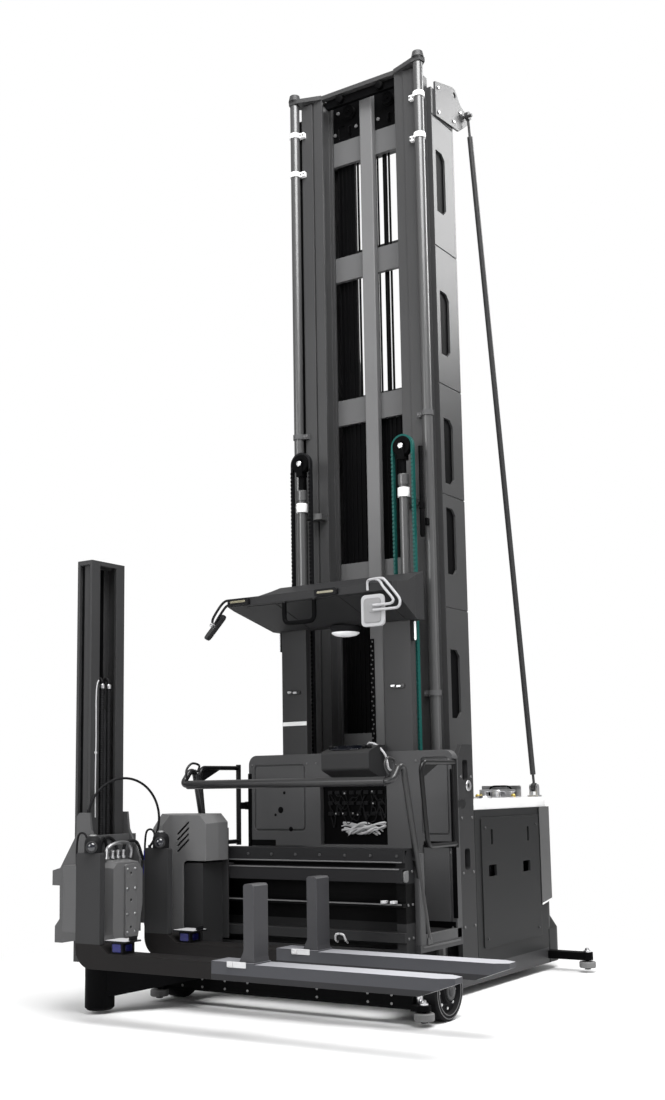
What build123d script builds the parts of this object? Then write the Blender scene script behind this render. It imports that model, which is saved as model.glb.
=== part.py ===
"""Very narrow aisle forklift: a man-up turret truck with a two-stage mast, an operator platform
that rises with the forks, and a traversing, swivelling fork head carried in front of it."""
from build123d import *
import os

os.makedirs("parts", exist_ok=True)

# Millimetres, Z up. Origin on the floor midway between the front load wheels.
# The truck faces -Y. Paired pieces stand at +X and -X.

# Mast
BODY_HALF = 640.0                # half width of the rear housing
RAIL_FRONT = 790.0               # front face of the outer rails
RAIL_DEPTH = 170.0
RAIL_TOP = 5950.0
RAIL_REAR = RAIL_FRONT + RAIL_DEPTH
RUN_Y = RAIL_FRONT + RAIL_DEPTH / 2
PLATE_X = BODY_HALF - 140        # outer face of the mast side plates
PLATE_REAR = RAIL_REAR + 275
RAIL_OUT = PLATE_X - 40          # outer face of the outer rails
RAIL_IN = RAIL_OUT - 90          # tips of the outer rails' flanges
INNER_TOP = RAIL_TOP + 90
INNER_OUT = RAIL_IN - 5
INNER_IN = INNER_OUT - 70
INNER_MID = (INNER_IN + INNER_OUT) / 2
CYL_R = 33.0                     # main lift cylinders beside the rails
CYL_X = PLATE_X
CYL_Y = RAIL_FRONT - 26
CYL_TOP = INNER_TOP - 8
FREE_X = RAIL_IN + 20            # chain cylinders in front of the mast
FREE_Y = RAIL_FRONT - 162
FREE_TOP = 3200.0
SHEAVE_R = 65.0
SHEAVE_Z = FREE_TOP + 185
RUN_GAP = 0.3                    # running gap of pins, rods and guide rollers

# Chassis and rear housing
BODY_FRONT = RAIL_REAR + 10
BODY_REAR = BODY_FRONT + 1195
BODY_MID = (BODY_FRONT + BODY_REAR) / 2
BODY_TOP = 1094.0                # top edge of the dark panels
CAP_H = 66.0                     # height of the white top cover
SILL_BASE = 50.0                 # underside of the chassis
SILL_TOP = 150.0                 # top of the chassis tray
CORNER_R = 140.0                 # rounded rear corners
WALL = 10.0                      # sheet housings
TRAY_FRONT = RAIL_FRONT - 70     # front edge of the tray that carries the mast
NOTCH_HALF = PLATE_X + 15        # recess in the housing that takes the mast foot
NOTCH_REAR = PLATE_REAR + 15
DRIVE_R = 190.0
DRIVE_Y = BODY_REAR - 285
BAY_FRONT = DRIVE_Y - 230        # open bay of the drive unit
BAY_REAR = DRIVE_Y + 230

# Front wheels, bumper and guide rollers
WHEEL_R = 155.0
WHEEL_W = 100.0
LEG_IN = BODY_HALF + 20
LEG_OUT = LEG_IN + 170
LEG_TOP = 280.0
BUMPER_HALF = LEG_OUT + 15
WHEEL_OUT = LEG_OUT + 126        # outer face of the load wheels
AXLE_R = 28.0
ROLLER_R = 55.0
ROLLER_X = WHEEL_OUT - 50
ROLLER_Y = (-200.0, DRIVE_Y + 160)

# Operator platform
WALL_REAR = RAIL_FRONT - 230
WALL_FRONT = WALL_REAR - 60
DECK_FRONT = WALL_REAR - 500
DECK_Z = 334.0                   # underside of the platform
DECK_T = 40.0
DECK_TOP = DECK_Z + DECK_T
CAB_HALF = 750.0
FRAME_HALF = CAB_HALF - 30       # half length of the traverse rails
WALL_TOP = DECK_Z + 1126
POST_IN = 290.0
POST_OUT = POST_IN + 190
ROOF_Z = WALL_TOP + 795
ROOF_FRONT = DECK_FRONT + 30
ROOF_REAR = WALL_REAR + 20
GUARD_X = CAB_HALF - 10
GUARD_R = 18.0
GUARD_Z = DECK_TOP + 903         # front guard bar
GATE_X = CAB_HALF + 40
GATE_R = 14.0
HINGE_Y = WALL_REAR - 30
HINGE_Z = DECK_TOP + 766

# Traverse carriage and fork head
PIVOT_X = -(CAB_HALF + 190)
PIVOT_Y = DECK_FRONT - 740
COVER_L = PIVOT_X - 20
COVER_R = COVER_L + 505
COVER_FRONT = DECK_FRONT - 360
COVER_REAR = DECK_FRONT - 170
COVER_BASE = DECK_Z + 18
COVER_TOP = COVER_BASE + 754
TRACK_TOP = DECK_Z + 468         # upper face of the lower traverse rail
ARM_BASE = 100.0
ARM_TOP = 240.0
BOSS_R = 84.0
PIN_R = 35.0
AUX_BASE = 295.0
AUX_TOP = 2596.0
AUX_X0 = PIVOT_X - 74
AUX_X1 = PIVOT_X + 40
AUX_MID = (AUX_X0 + AUX_X1) / 2
AUX_HALF = 140.0
FORK_TOP = 385.0
FORK_T = 86.0
FORK_BASE = FORK_TOP - FORK_T
FORK_IN = AUX_HALF + 71          # fork flanks, from the pivot axis
FORK_OUT = FORK_IN + 143
FORK_MID = (FORK_IN + FORK_OUT) / 2
SHANK_BACK = PIVOT_X + 147
SHANK_FRONT = SHANK_BACK + 178
SHANK_TOP = FORK_TOP + 530
SHANK_T = 38.0
SHANK_Y = (-FORK_OUT, FORK_IN)      # face of each shank, from the pivot axis
SLEEVE_X = SHANK_FRONT + 765     # start of the light blade
FORK_TIP = SLEEVE_X + 1370
PAD_T = 6.0                      # seat of the load stops, proud of the load face
PAD_END = SLEEVE_X + 270


# Chassis: tray with the mast foot, open drive bay, two tapered legs and stub axles
with BuildPart() as chassis_frame:
    with BuildSketch(Plane.XY.offset(SILL_BASE)):
        with Locations((0, (TRAY_FRONT + BODY_REAR) / 2)):
            Rectangle(2 * BODY_HALF, BODY_REAR - TRAY_FRONT)
        fillet(vertices().group_by(Axis.Y)[-1], radius=CORNER_R)
        with Locations((0, DRIVE_Y)):
            Rectangle(2 * (BODY_HALF - 80), BAY_REAR - BAY_FRONT, mode=Mode.SUBTRACT)
    extrude(amount=SILL_TOP - SILL_BASE)
    with BuildSketch(Plane.XY.offset(SILL_BASE + 30)):
        for s in (-1, 1):
            Polygon((s * LEG_IN, -140), (s * LEG_OUT, -140), (s * LEG_OUT, 230),
                    (s * BODY_HALF, TRAY_FRONT - 60),
                    (s * BODY_HALF, TRAY_FRONT + 40), (s * (BODY_HALF - 80), TRAY_FRONT + 40),
                    (s * (BODY_HALF - 80), TRAY_FRONT - 60), (s * LEG_IN, 200), align=None)
    extrude(amount=LEG_TOP - SILL_BASE - 30)
    with BuildSketch(Plane.YZ.offset(-LEG_OUT - 10)):
        Polygon((-150, LEG_TOP - 60), (-60, LEG_TOP + 1), (-150, LEG_TOP + 1), align=None)
        Polygon((260, LEG_TOP + 1), (TRAY_FRONT - 20, SILL_TOP + 40), (TRAY_FRONT + 50, SILL_TOP + 40),
                (TRAY_FRONT + 50, LEG_TOP + 1), align=None)
    extrude(amount=2 * LEG_OUT + 20, mode=Mode.SUBTRACT)
    for s in (-1, 1):
        with BuildSketch(Plane(origin=(s * (LEG_OUT - 20), 0, WHEEL_R), z_dir=(s, 0, 0))):
            Circle(AXLE_R)
        extrude(amount=WHEEL_OUT - LEG_OUT + 30)
        with BuildSketch(Plane(origin=(s * (WHEEL_OUT + 2), 0, WHEEL_R), z_dir=(s, 0, 0))):
            Circle(46)
        extrude(amount=8, taper=20)
chassis_frame.part.label = "chassis_frame"
export_step(chassis_frame.part, "parts/chassis_frame.step")

# Front bumper bar across the legs
with BuildPart() as front_bumper:
    with BuildSketch(Plane.YZ.offset(-BUMPER_HALF)):
        with Locations((-176, 127)):
            Rectangle(72, 96)
        chamfer(vertices().group_by(Axis.X)[0], length=14)
    extrude(amount=2 * BUMPER_HALF)
front_bumper.part.label = "front_bumper"
export_step(front_bumper.part, "parts/front_bumper.step")

# Plate arms with round ends, and the pins of the four aisle guide rollers
# y, root x, base z, thickness
arms = [(ROLLER_Y[0], BUMPER_HALF, 79, 30), (ROLLER_Y[1], BODY_HALF, 80, 50)]
with BuildPart() as guide_arms:
    for s in (-1, 1):
        for y, root, base, thick in arms:
            with BuildSketch(Plane.XY.offset(base)):
                with Locations((s * (root + ROLLER_X) / 2, y)):
                    Rectangle(ROLLER_X - root, 76)
                with Locations((s * ROLLER_X, y)):
                    Circle(38)
            extrude(amount=thick)
            with Locations((s * ROLLER_X, y, 56)):
                Cylinder(12, 62)
            with Locations((s * ROLLER_X, y, 22)):
                Cylinder(20, 6)
guide_arms.part.label = "guide_arms"
export_step(guide_arms.part, "parts/guide_arms.step")

# Guide rollers: turned rings with a recessed face
rollers = [("guide_roller_front_right", 1, 0), ("guide_roller_front_left", -1, 0),
           ("guide_roller_rear_right", 1, 1), ("guide_roller_rear_left", -1, 1)]
for label, side, row in rollers:
    with BuildPart() as guide_roller:
        hub = Plane(origin=(side * ROLLER_X, ROLLER_Y[row], 30), x_dir=(1, 0, 0), z_dir=(0, -1, 0))
        with BuildSketch(hub):
            Polygon((12 + RUN_GAP, 0), (24, 0), (28, 6), (42, 6), (46, 0), (ROLLER_R - 5, 0), (ROLLER_R, 5),
                    (ROLLER_R, 35), (ROLLER_R - 5, 40), (12 + RUN_GAP, 40), align=None)
        revolve(axis=Axis((side * ROLLER_X, ROLLER_Y[row], 0), (0, 0, 1)))
    guide_roller.part.label = label
    export_step(guide_roller.part, "parts/" + label + ".step")

# Front load wheels: tyre, dished web and hub turned about the stub axle
for label, side in (("load_wheel_right", 1), ("load_wheel_left", -1)):
    with BuildPart() as load_wheel:
        face = Plane(origin=(side * (WHEEL_OUT - WHEEL_W), 0, WHEEL_R), x_dir=(side, 0, 0),
                     z_dir=(0, -side, 0))
        with BuildSketch(face):
            Polygon((0, AXLE_R + RUN_GAP), (WHEEL_W, AXLE_R + RUN_GAP), (WHEEL_W, 60), (WHEEL_W - 22, 66),
                    (WHEEL_W - 22, 112), (WHEEL_W, 118), (WHEEL_W, WHEEL_R - 9), (WHEEL_W - 9, WHEEL_R),
                    (9, WHEEL_R), (0, WHEEL_R - 9), align=None)
        revolve(axis=Axis((0, 0, WHEEL_R), (1, 0, 0)))
    load_wheel.part.label = label
    export_step(load_wheel.part, "parts/" + label + ".step")

# Steered drive unit: turned motor and gear case, with a fork that holds the wheel
with BuildPart() as drive_unit:
    with BuildSketch(Plane.XZ.offset(-DRIVE_Y)):
        Polygon((0, 500), (150, 500), (170, 520), (170, 610), (110, 618), (110, 810), (96, 830), (96, 850),
                (0, 860),
                align=None)
    revolve(axis=Axis((0, DRIVE_Y, 0), (0, 0, 1)))
    for s in (-1, 1):
        with BuildSketch(Plane.YZ.offset(s * 90)):
            with Locations((DRIVE_Y, (DRIVE_R + 520) / 2)):
                Rectangle(150, 520 - DRIVE_R)
            with Locations((DRIVE_Y, DRIVE_R)):
                Circle(75)
        extrude(amount=s * 30)
    with Locations((0, DRIVE_Y, DRIVE_R)):
        Cylinder(26, 230, rotation=(0, 90, 0))
drive_unit.part.label = "drive_unit"
export_step(drive_unit.part, "parts/drive_unit.step")

with BuildPart() as drive_wheel:
    with BuildSketch(Plane.XY.offset(DRIVE_R)):
        with Locations((0, DRIVE_Y)):
            Polygon((-75, 26 + RUN_GAP), (75, 26 + RUN_GAP), (75, 70), (55, 80), (55, 140), (75, 148),
                    (75, DRIVE_R - 12), (63, DRIVE_R), (-63, DRIVE_R), (-75, DRIVE_R - 12), (-75, 148),
                    (-55, 140),
                    (-55, 80), (-75, 70), align=None)
    revolve(axis=Axis((0, DRIVE_Y, DRIVE_R), (1, 0, 0)))
drive_wheel.part.label = "drive_wheel"
export_step(drive_wheel.part, "parts/drive_wheel.step")

# Openings of the side panels: place along and height from the panel's middle, width, height, corner
PANEL_Y = BODY_MID - 88
PANEL_Z = (SILL_TOP + BODY_TOP) / 2 + 23
side_openings = [(-286, 275, 30, 100, 10), (257, 275, 30, 100, 10), (-287, 67, 112, 72, 8),
                 (220, 67, 112, 72, 8)]

# Rear housing: a sheet shell open below, with a bearing bridge over the drive unit
with BuildPart() as rear_housing:
    with BuildSketch(Plane.XY.offset(SILL_TOP)):
        with Locations((0, BODY_MID)):
            Rectangle(2 * BODY_HALF, BODY_REAR - BODY_FRONT)
        fillet(vertices().group_by(Axis.Y)[-1], radius=CORNER_R)
    extrude(amount=BODY_TOP - SILL_TOP)
    with BuildSketch(Plane.XY.offset(SILL_TOP)):
        with Locations((0, BODY_MID)):
            Rectangle(2 * (BODY_HALF - WALL), BODY_REAR - BODY_FRONT - 2 * WALL)
        fillet(vertices().group_by(Axis.Y)[-1], radius=CORNER_R - WALL)
    extrude(amount=BODY_TOP - SILL_TOP - WALL, mode=Mode.SUBTRACT)
    with Locations((0, (BODY_FRONT + NOTCH_REAR) / 2, (SILL_TOP + BODY_TOP) / 2)):
        Box(2 * (NOTCH_HALF + WALL), NOTCH_REAR - BODY_FRONT + 2 * WALL, BODY_TOP - SILL_TOP)
        Box(2 * NOTCH_HALF, NOTCH_REAR - BODY_FRONT, BODY_TOP - SILL_TOP, mode=Mode.SUBTRACT)
    with Locations((0, BODY_FRONT, (SILL_TOP + BODY_TOP) / 2)):
        Box(2 * NOTCH_HALF, 2 * WALL, BODY_TOP - SILL_TOP, mode=Mode.SUBTRACT)
    with BuildSketch(Plane.XY.offset(630)):
        with Locations((0, DRIVE_Y)):
            Rectangle(2 * BODY_HALF - WALL, 280)
            Circle(110 + RUN_GAP, mode=Mode.SUBTRACT)
    extrude(amount=40)
    with BuildSketch(Plane(origin=(0, BODY_REAR, 0), x_dir=(-1, 0, 0), z_dir=(0, 1, 0))):
        with GridLocations(0, 46, 1, 5):
            with Locations((0, BODY_TOP - 300)):
                SlotOverall(520, 18)
    extrude(amount=-2 * WALL, mode=Mode.SUBTRACT)
    with BuildSketch(Plane.YZ.offset(-BODY_HALF - WALL)):
        for along, rise, width, height, corner in side_openings:
            with Locations((PANEL_Y + along, PANEL_Z + rise)):
                RectangleRounded(width, height, corner)
    extrude(amount=2 * BODY_HALF + 2 * WALL, mode=Mode.SUBTRACT)
rear_housing.part.label = "rear_housing"
export_step(rear_housing.part, "parts/rear_housing.step")

# Low rear skirt that bulges behind the housing
SKIRT_H = 320.0
with BuildPart() as rear_skirt:
    with BuildSketch(Plane.XY.offset(SILL_BASE)):
        with Locations((0, BODY_REAR - 90)):
            Rectangle(2 * BODY_HALF, 410)
        fillet(vertices().group_by(Axis.Y)[-1], radius=CORNER_R)
    extrude(amount=SKIRT_H)
    chamfer(rear_skirt.faces().sort_by(Axis.Z)[-1].edges().filter_by(GeomType.LINE).sort_by(Axis.Y)[-1],
            length=100, length2=60)
    with BuildSketch(Plane.XY.offset(SILL_BASE)):
        with Locations((0, BODY_MID)):
            Rectangle(2 * BODY_HALF, BODY_REAR - BODY_FRONT)
        fillet(vertices().group_by(Axis.Y)[-1], radius=CORNER_R)
    extrude(amount=SKIRT_H + 80, mode=Mode.SUBTRACT)
rear_skirt.part.label = "rear_skirt"
export_step(rear_skirt.part, "parts/rear_skirt.step")

# Lift-off side panels with two slots and two hand holes
with BuildPart() as side_panels:
    for s in (-1, 1):
        with BuildSketch(Plane(origin=(s * BODY_HALF, 0, 0), x_dir=(0, 1, 0), z_dir=(s, 0, 0))):
            with Locations((PANEL_Y, s * PANEL_Z)):
                RectangleRounded(860, BODY_TOP - SILL_TOP - 144, 20)
            for along, rise, width, height, corner in side_openings:
                with Locations((PANEL_Y + along, s * (PANEL_Z + rise))):
                    RectangleRounded(width, height, corner, mode=Mode.SUBTRACT)
        extrude(amount=7)
side_panels.part.label = "side_panels"
export_step(side_panels.part, "parts/side_panels.step")

# Lighter bands around the rear corners with a slanted lower edge
TRIM_BASE = 450.0
TRIM_FRONT = BODY_REAR - 230
with BuildPart() as corner_trims:
    with BuildSketch(Plane.XY.offset(TRIM_BASE)):
        with Locations((0, BODY_MID)):
            Rectangle(2 * BODY_HALF + 12, BODY_REAR - BODY_FRONT + 12)
        fillet(vertices().group_by(Axis.Y)[-1], radius=CORNER_R + 6)
    extrude(amount=BODY_TOP - TRIM_BASE)
    with BuildSketch(Plane.XY.offset(TRIM_BASE - 10)):
        with Locations((0, BODY_MID)):
            Rectangle(2 * BODY_HALF, BODY_REAR - BODY_FRONT)
        fillet(vertices().group_by(Axis.Y)[-1], radius=CORNER_R)
    extrude(amount=BODY_TOP, mode=Mode.SUBTRACT)
    with Locations((0, TRIM_FRONT - 700, BODY_TOP - 300)):
        Box(2 * BODY_HALF + 100, 1400, 1000, mode=Mode.SUBTRACT)
    with Locations((0, BODY_REAR, BODY_TOP - 300)):
        Box(2 * (BODY_HALF - CORNER_R), 200, 1000, mode=Mode.SUBTRACT)
    with BuildSketch(Plane.YZ.offset(-BODY_HALF - 260)):
        Polygon((TRIM_FRONT - 35, TRIM_BASE - 50), (BODY_REAR + 135, TRIM_BASE - 50),
                (BODY_REAR + 135, TRIM_BASE + 55),
                (TRIM_FRONT - 35, TRIM_BASE), align=None)
    extrude(amount=2 * BODY_HALF + 520, mode=Mode.SUBTRACT)
corner_trims.part.label = "corner_trims"
export_step(corner_trims.part, "parts/corner_trims.step")

# White top cover
with BuildPart() as top_cover:
    with BuildSketch(Plane.XY.offset(BODY_TOP)):
        with Locations((0, BODY_MID)):
            Rectangle(2 * BODY_HALF - 10, BODY_REAR - BODY_FRONT - 10)
        fillet(vertices().group_by(Axis.Y)[-1], radius=CORNER_R - 5)
    extrude(amount=CAP_H)
    with Locations((0, (BODY_FRONT + NOTCH_REAR) / 2, BODY_TOP + CAP_H / 2)):
        Box(2 * NOTCH_HALF, NOTCH_REAR - BODY_FRONT, CAP_H, mode=Mode.SUBTRACT)
    fillet(top_cover.faces().sort_by(Axis.Z)[-1].edges(), radius=28)
top_cover.part.label = "top_cover"
export_step(top_cover.part, "parts/top_cover.step")

# Traction battery behind the mast
with BuildPart() as battery_block:
    with Locations((0, (NOTCH_REAR + BAY_FRONT) / 2, SILL_TOP + 370)):
        Box(2 * BODY_HALF - 100, BAY_FRONT - NOTCH_REAR - 60, 740)
battery_block.part.label = "battery_block"
export_step(battery_block.part, "parts/battery_block.step")

# Folded bracket and round cap on the top cover, clevis feet of the stays
TOP_Z = BODY_TOP + CAP_H
STAY_X = PLATE_X + 45
STAY_FOOT_Y = BODY_REAR - 75
with BuildPart() as top_fittings:
    with BuildSketch(Plane.YZ.offset(180)):
        Polygon((DRIVE_Y - 20, TOP_Z), (DRIVE_Y + 134, TOP_Z), (DRIVE_Y + 134, TOP_Z + 80),
                (DRIVE_Y + 126, TOP_Z + 80),
                (DRIVE_Y + 126, TOP_Z + 6), (DRIVE_Y - 20, TOP_Z + 6), align=None)
    extrude(amount=300)
    with BuildSketch(Plane.XY.offset(TOP_Z)):
        with Locations((430, PANEL_Y + 60)):
            Circle(50)
    extrude(amount=14, taper=25)
    for s in (-1, 1):
        with Locations((s * STAY_X, STAY_FOOT_Y, TOP_Z + 6)):
            Box(80, 60, 12)
        for dx in (-24, 24):
            with BuildSketch(Plane.YZ.offset(s * STAY_X + dx - 5)):
                with Locations((STAY_FOOT_Y, TOP_Z + 35)):
                    Rectangle(44, 58)
                with Locations((STAY_FOOT_Y, TOP_Z + 66)):
                    Circle(22)
            extrude(amount=10)
top_fittings.part.label = "top_fittings"
export_step(top_fittings.part, "parts/top_fittings.step")

# Upright support plates beside the mast foot, cut back at the top
SUPPORT_TOP = DECK_Z + 1166
with BuildPart() as mast_supports:
    for s in (-1, 1):
        with BuildSketch(Plane.YZ.offset(s * (BODY_HALF - 30))):
            Polygon((RAIL_FRONT - 23, SILL_TOP), (RAIL_REAR + 5, SILL_TOP), (RAIL_REAR + 5, SUPPORT_TOP),
                    (RAIL_FRONT + 40, SUPPORT_TOP), (RAIL_FRONT - 23, SUPPORT_TOP - 90), align=None)
            for dz in (-160, -700):
                with Locations((RUN_Y - 10, SUPPORT_TOP + dz)):
                    RectangleRounded(70, 130, 20, mode=Mode.SUBTRACT)
        extrude(amount=s * 30)
        with Locations((s * (PLATE_X + BODY_HALF - 30) / 2, RAIL_REAR - 10,
                        (SILL_TOP + SUPPORT_TOP - 50) / 2)):
            Box(BODY_HALF - 30 - PLATE_X, 20, SUPPORT_TOP - 50 - SILL_TOP)
mast_supports.part.label = "mast_supports"
export_step(mast_supports.part, "parts/mast_supports.step")

# Outer mast: channel rails, side plates with chamfered windows and seams behind them, and rear return flanges
FLANGE_T = 12.0
window_at = [0.890, 0.722, 0.575, 0.474, 0.318]      # middle of each window, as a share of the rail height
seam_at = [0.967, 0.810, 0.650, 0.525, 0.400]
with BuildPart() as outer_mast:
    with BuildSketch(Plane.XY.offset(SILL_TOP)):
        for s in (-1, 1):
            with Locations((s * (RAIL_OUT - 7.5), RUN_Y)):
                Rectangle(15, RAIL_DEPTH)
            for y in (RAIL_FRONT + 11, RAIL_REAR - 11):
                with Locations((s * (RAIL_IN + RAIL_OUT) / 2, y)):
                    Rectangle(RAIL_OUT - RAIL_IN, 22)
            with Locations((s * (RAIL_OUT + PLATE_X) / 2, RAIL_REAR - 10)):
                Rectangle(PLATE_X - RAIL_OUT, 20)
            with Locations((s * (PLATE_X - 7.5), (RAIL_REAR - 20 + PLATE_REAR + FLANGE_T) / 2)):
                Rectangle(15, PLATE_REAR + FLANGE_T - RAIL_REAR + 20)
            with Locations((s * (PLATE_X - 70), PLATE_REAR + FLANGE_T / 2)):
                Rectangle(140, FLANGE_T)
    extrude(amount=RAIL_TOP - SILL_TOP)
    with BuildSketch(Plane.XY.offset(RAIL_TOP)):
        for s in (-1, 1):
            with Locations((s * (RAIL_OUT - 7.5), RUN_Y)):
                Rectangle(15, RAIL_DEPTH)
            for y in (RAIL_FRONT + 11, RAIL_REAR - 11):
                with Locations((s * (RAIL_IN + RAIL_OUT) / 2, y)):
                    Rectangle(RAIL_OUT - RAIL_IN, 22)
    extrude(amount=INNER_TOP - 10 - RAIL_TOP)
    with BuildSketch(Plane.YZ.offset(-PLATE_X - 20)) as window:
        for share in window_at:
            with Locations((RAIL_REAR + 88, RAIL_TOP * share)):
                Rectangle(127, 440)
        chamfer(window.vertices().group_by(Axis.X)[-1], length=40)
    extrude(amount=2 * PLATE_X + 40, mode=Mode.SUBTRACT)
    for share in seam_at:
        for s in (-1, 1):
            with Locations((s * PLATE_X, RAIL_REAR + 150, RAIL_TOP * share)):
                Box(10, 400, 9, mode=Mode.SUBTRACT)
outer_mast.part.label = "outer_mast"
export_step(outer_mast.part, "parts/outer_mast.step")

# Cross ties behind the outer mast and the head plates with lifting eyes and stay pins
tie_at = [0.055, 0.257, 0.455, 0.656, 0.837, 0.975]
EYE_Y = PLATE_REAR + 27
EYE_Z = RAIL_TOP + 80
STAY_HEAD_Y = PLATE_REAR + 165
STAY_HEAD_Z = RAIL_TOP - 25
with BuildPart() as mast_ties:
    with BuildSketch(Plane.YZ.offset(-PLATE_X + 15)):
        for share in tie_at:
            with Locations((PLATE_REAR - 20, RAIL_TOP * share)):
                Rectangle(40, 150)
                with Locations((10, 0)):
                    Rectangle(30, 126, mode=Mode.SUBTRACT)
    extrude(amount=2 * PLATE_X - 30)
mast_ties.part.label = "mast_ties"
export_step(mast_ties.part, "parts/mast_ties.step")

head_outline = [(-255, -195), (-255, 53), (-5, 126), (35, 126), (118, 40), (220, 10), (220, -60), (80, -165)]
with BuildPart() as mast_heads:
    for s in (-1, 1):
        with BuildSketch(Plane.YZ.offset(s * PLATE_X)):
            with Locations((PLATE_REAR, RAIL_TOP)):
                Polygon(*head_outline, align=None)
            with Locations((EYE_Y, EYE_Z)):
                Circle(20, mode=Mode.SUBTRACT)
        extrude(amount=s * 14)
        with Locations((s * (STAY_X - 8), STAY_HEAD_Y, STAY_HEAD_Z)):
            Cylinder(11, 80, rotation=(0, 90, 0))
mast_heads.part.label = "mast_heads"
export_step(mast_heads.part, "parts/mast_heads.step")

# Main lift cylinders: barrels with a gland collar, clamps on the rails, rods with capped brackets on the
# inner mast
with BuildPart() as lift_barrels:
    with BuildSketch(Plane.XY.offset(SILL_TOP)):
        with Locations((-CYL_X, CYL_Y), (CYL_X, CYL_Y)):
            Circle(CYL_R)
            Circle(CYL_R - 9, mode=Mode.SUBTRACT)
    extrude(amount=CYL_TOP - SILL_TOP)
    with BuildSketch(Plane.XY.offset(CYL_TOP - 60)):
        with Locations((-CYL_X, CYL_Y), (CYL_X, CYL_Y)):
            Circle(CYL_R)
            Circle(CYL_R - 11 + RUN_GAP, mode=Mode.SUBTRACT)
    extrude(amount=60)
lift_barrels.part.label = "lift_barrels"
export_step(lift_barrels.part, "parts/lift_barrels.step")

clamp_at = [0.973, 0.924, 0.605, 0.303]              # shares of the rail height
with BuildPart() as barrel_clamps:
    for share in clamp_at:
        with BuildSketch(Plane.XY.offset(RAIL_TOP * share)):
            for s in (-1, 1):
                with Locations((s * CYL_X, CYL_Y)):
                    Circle(CYL_R + 7)
                with Locations((s * (RAIL_OUT - 16), RAIL_FRONT - 14)):
                    Rectangle(38, 28)
                with Locations((s * CYL_X, CYL_Y)):
                    Circle(CYL_R, mode=Mode.SUBTRACT)
        extrude(amount=34)
barrel_clamps.part.label = "barrel_clamps"
export_step(barrel_clamps.part, "parts/barrel_clamps.step")

with BuildPart() as lift_rods:
    with BuildSketch(Plane.XY.offset(700)):
        with Locations((-CYL_X, CYL_Y), (CYL_X, CYL_Y)):
            Circle(CYL_R - 11)
    extrude(amount=INNER_TOP - 700)
lift_rods.part.label = "lift_rods"
export_step(lift_rods.part, "parts/lift_rods.step")

# Mast stays from the mast heads to the rear of the top cover
STAY_FOOT_Z = TOP_Z + 66
with BuildPart() as mast_stays:
    for s in (-1, 1):
        foot = Vector(s * STAY_X, STAY_FOOT_Y, STAY_FOOT_Z)
        head = Vector(s * STAY_X, STAY_HEAD_Y, STAY_HEAD_Z)
        along = (head - foot).normalized()
        reach = (head - foot).length
        with BuildSketch(Plane(origin=foot + along * 24, z_dir=along)):
            Circle(9)
        extrude(amount=reach - 48)
        with BuildSketch(Plane(origin=foot + along * 90, z_dir=along)):
            Circle(19)
        extrude(amount=reach - 240)
        with Locations(foot):
            Cylinder(30, 26, rotation=(0, 90, 0))
        with Locations(head):
            Cylinder(30, 26, rotation=(0, 90, 0))
            Cylinder(11.5, 80, rotation=(0, 90, 0), mode=Mode.SUBTRACT)
mast_stays.part.label = "mast_stays"
export_step(mast_stays.part, "parts/mast_stays.step")

# Inner mast: I rails with guide rollers, a top crossbar and the brackets that hang on the lift rods
INNER_FOOT = SILL_TOP + 70
with BuildPart() as inner_mast:
    with BuildSketch(Plane.XY.offset(INNER_FOOT)):
        for s in (-1, 1):
            with Locations((s * INNER_MID, RUN_Y)):
                Rectangle(16, RAIL_DEPTH - 20)
            for y in (RAIL_FRONT + 20, RAIL_REAR - 20):
                with Locations((s * INNER_MID, y)):
                    Rectangle(INNER_OUT - INNER_IN, 20)
    extrude(amount=INNER_TOP - INNER_FOOT)
    for s in (-1, 1):
        for z in (INNER_FOOT + 200, INNER_FOOT + 860):
            with Locations((s * (RAIL_IN + 22), RUN_Y, z)):
                Cylinder(RAIL_DEPTH / 2 - 22 - RUN_GAP, 60, rotation=(0, 90, 0))
            with Locations((s * (INNER_OUT - 12), RUN_Y, z)):
                Cylinder(20, 40, rotation=(0, 90, 0))
    with BuildSketch(Plane.XY.offset(INNER_TOP)):
        for s in (-1, 1):
            Polygon((s * INNER_IN, RAIL_FRONT), (s * (CYL_X - 36), CYL_Y - 30),
                    (s * (CYL_X + 30), CYL_Y - 30),
                    (s * (CYL_X + 44), CYL_Y + 20), (s * INNER_OUT, RAIL_REAR - 10),
                    (s * INNER_IN, RAIL_REAR - 10),
                    align=None)
        with Locations((0, RAIL_FRONT + 30)):
            Rectangle(2 * INNER_IN + 20, 40)
    extrude(amount=30)
    with BuildSketch(Plane.XY.offset(INNER_TOP + 30)):
        with Locations((-CYL_X, CYL_Y), (CYL_X, CYL_Y)):
            Circle(44)
    extrude(amount=42, taper=12)
inner_mast.part.label = "inner_mast"
export_step(inner_mast.part, "parts/inner_mast.step")

# Ladder of cross bars between the inner rails, and the centre post in front of them
bar_at = [0.941, 0.799, 0.628, 0.439, 0.250, 0.065]  # shares of the inner mast's height
BAR_H = 176.0
LADDER_Y = RAIL_REAR - 10
with BuildPart() as mast_ladder:
    with BuildSketch(Plane.XZ.offset(-LADDER_Y - 30)):
        for share in bar_at:
            with Locations((0, INNER_TOP * share)):
                RectangleRounded(2 * INNER_OUT, BAR_H, 14)
    extrude(amount=30)
mast_ladder.part.label = "mast_ladder"
export_step(mast_ladder.part, "parts/mast_ladder.step")

with BuildPart() as centre_post:
    with BuildSketch(Plane.XY.offset(INNER_TOP * bar_at[-1] - BAR_H / 2)):
        with Locations((0, LADDER_Y - 25)):
            Rectangle(100, 50)
        fillet(vertices(), radius=8)
    extrude(amount=INNER_TOP * (1 - bar_at[-1]) + BAR_H / 2)
centre_post.part.label = "centre_post"
export_step(centre_post.part, "parts/centre_post.step")

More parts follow.
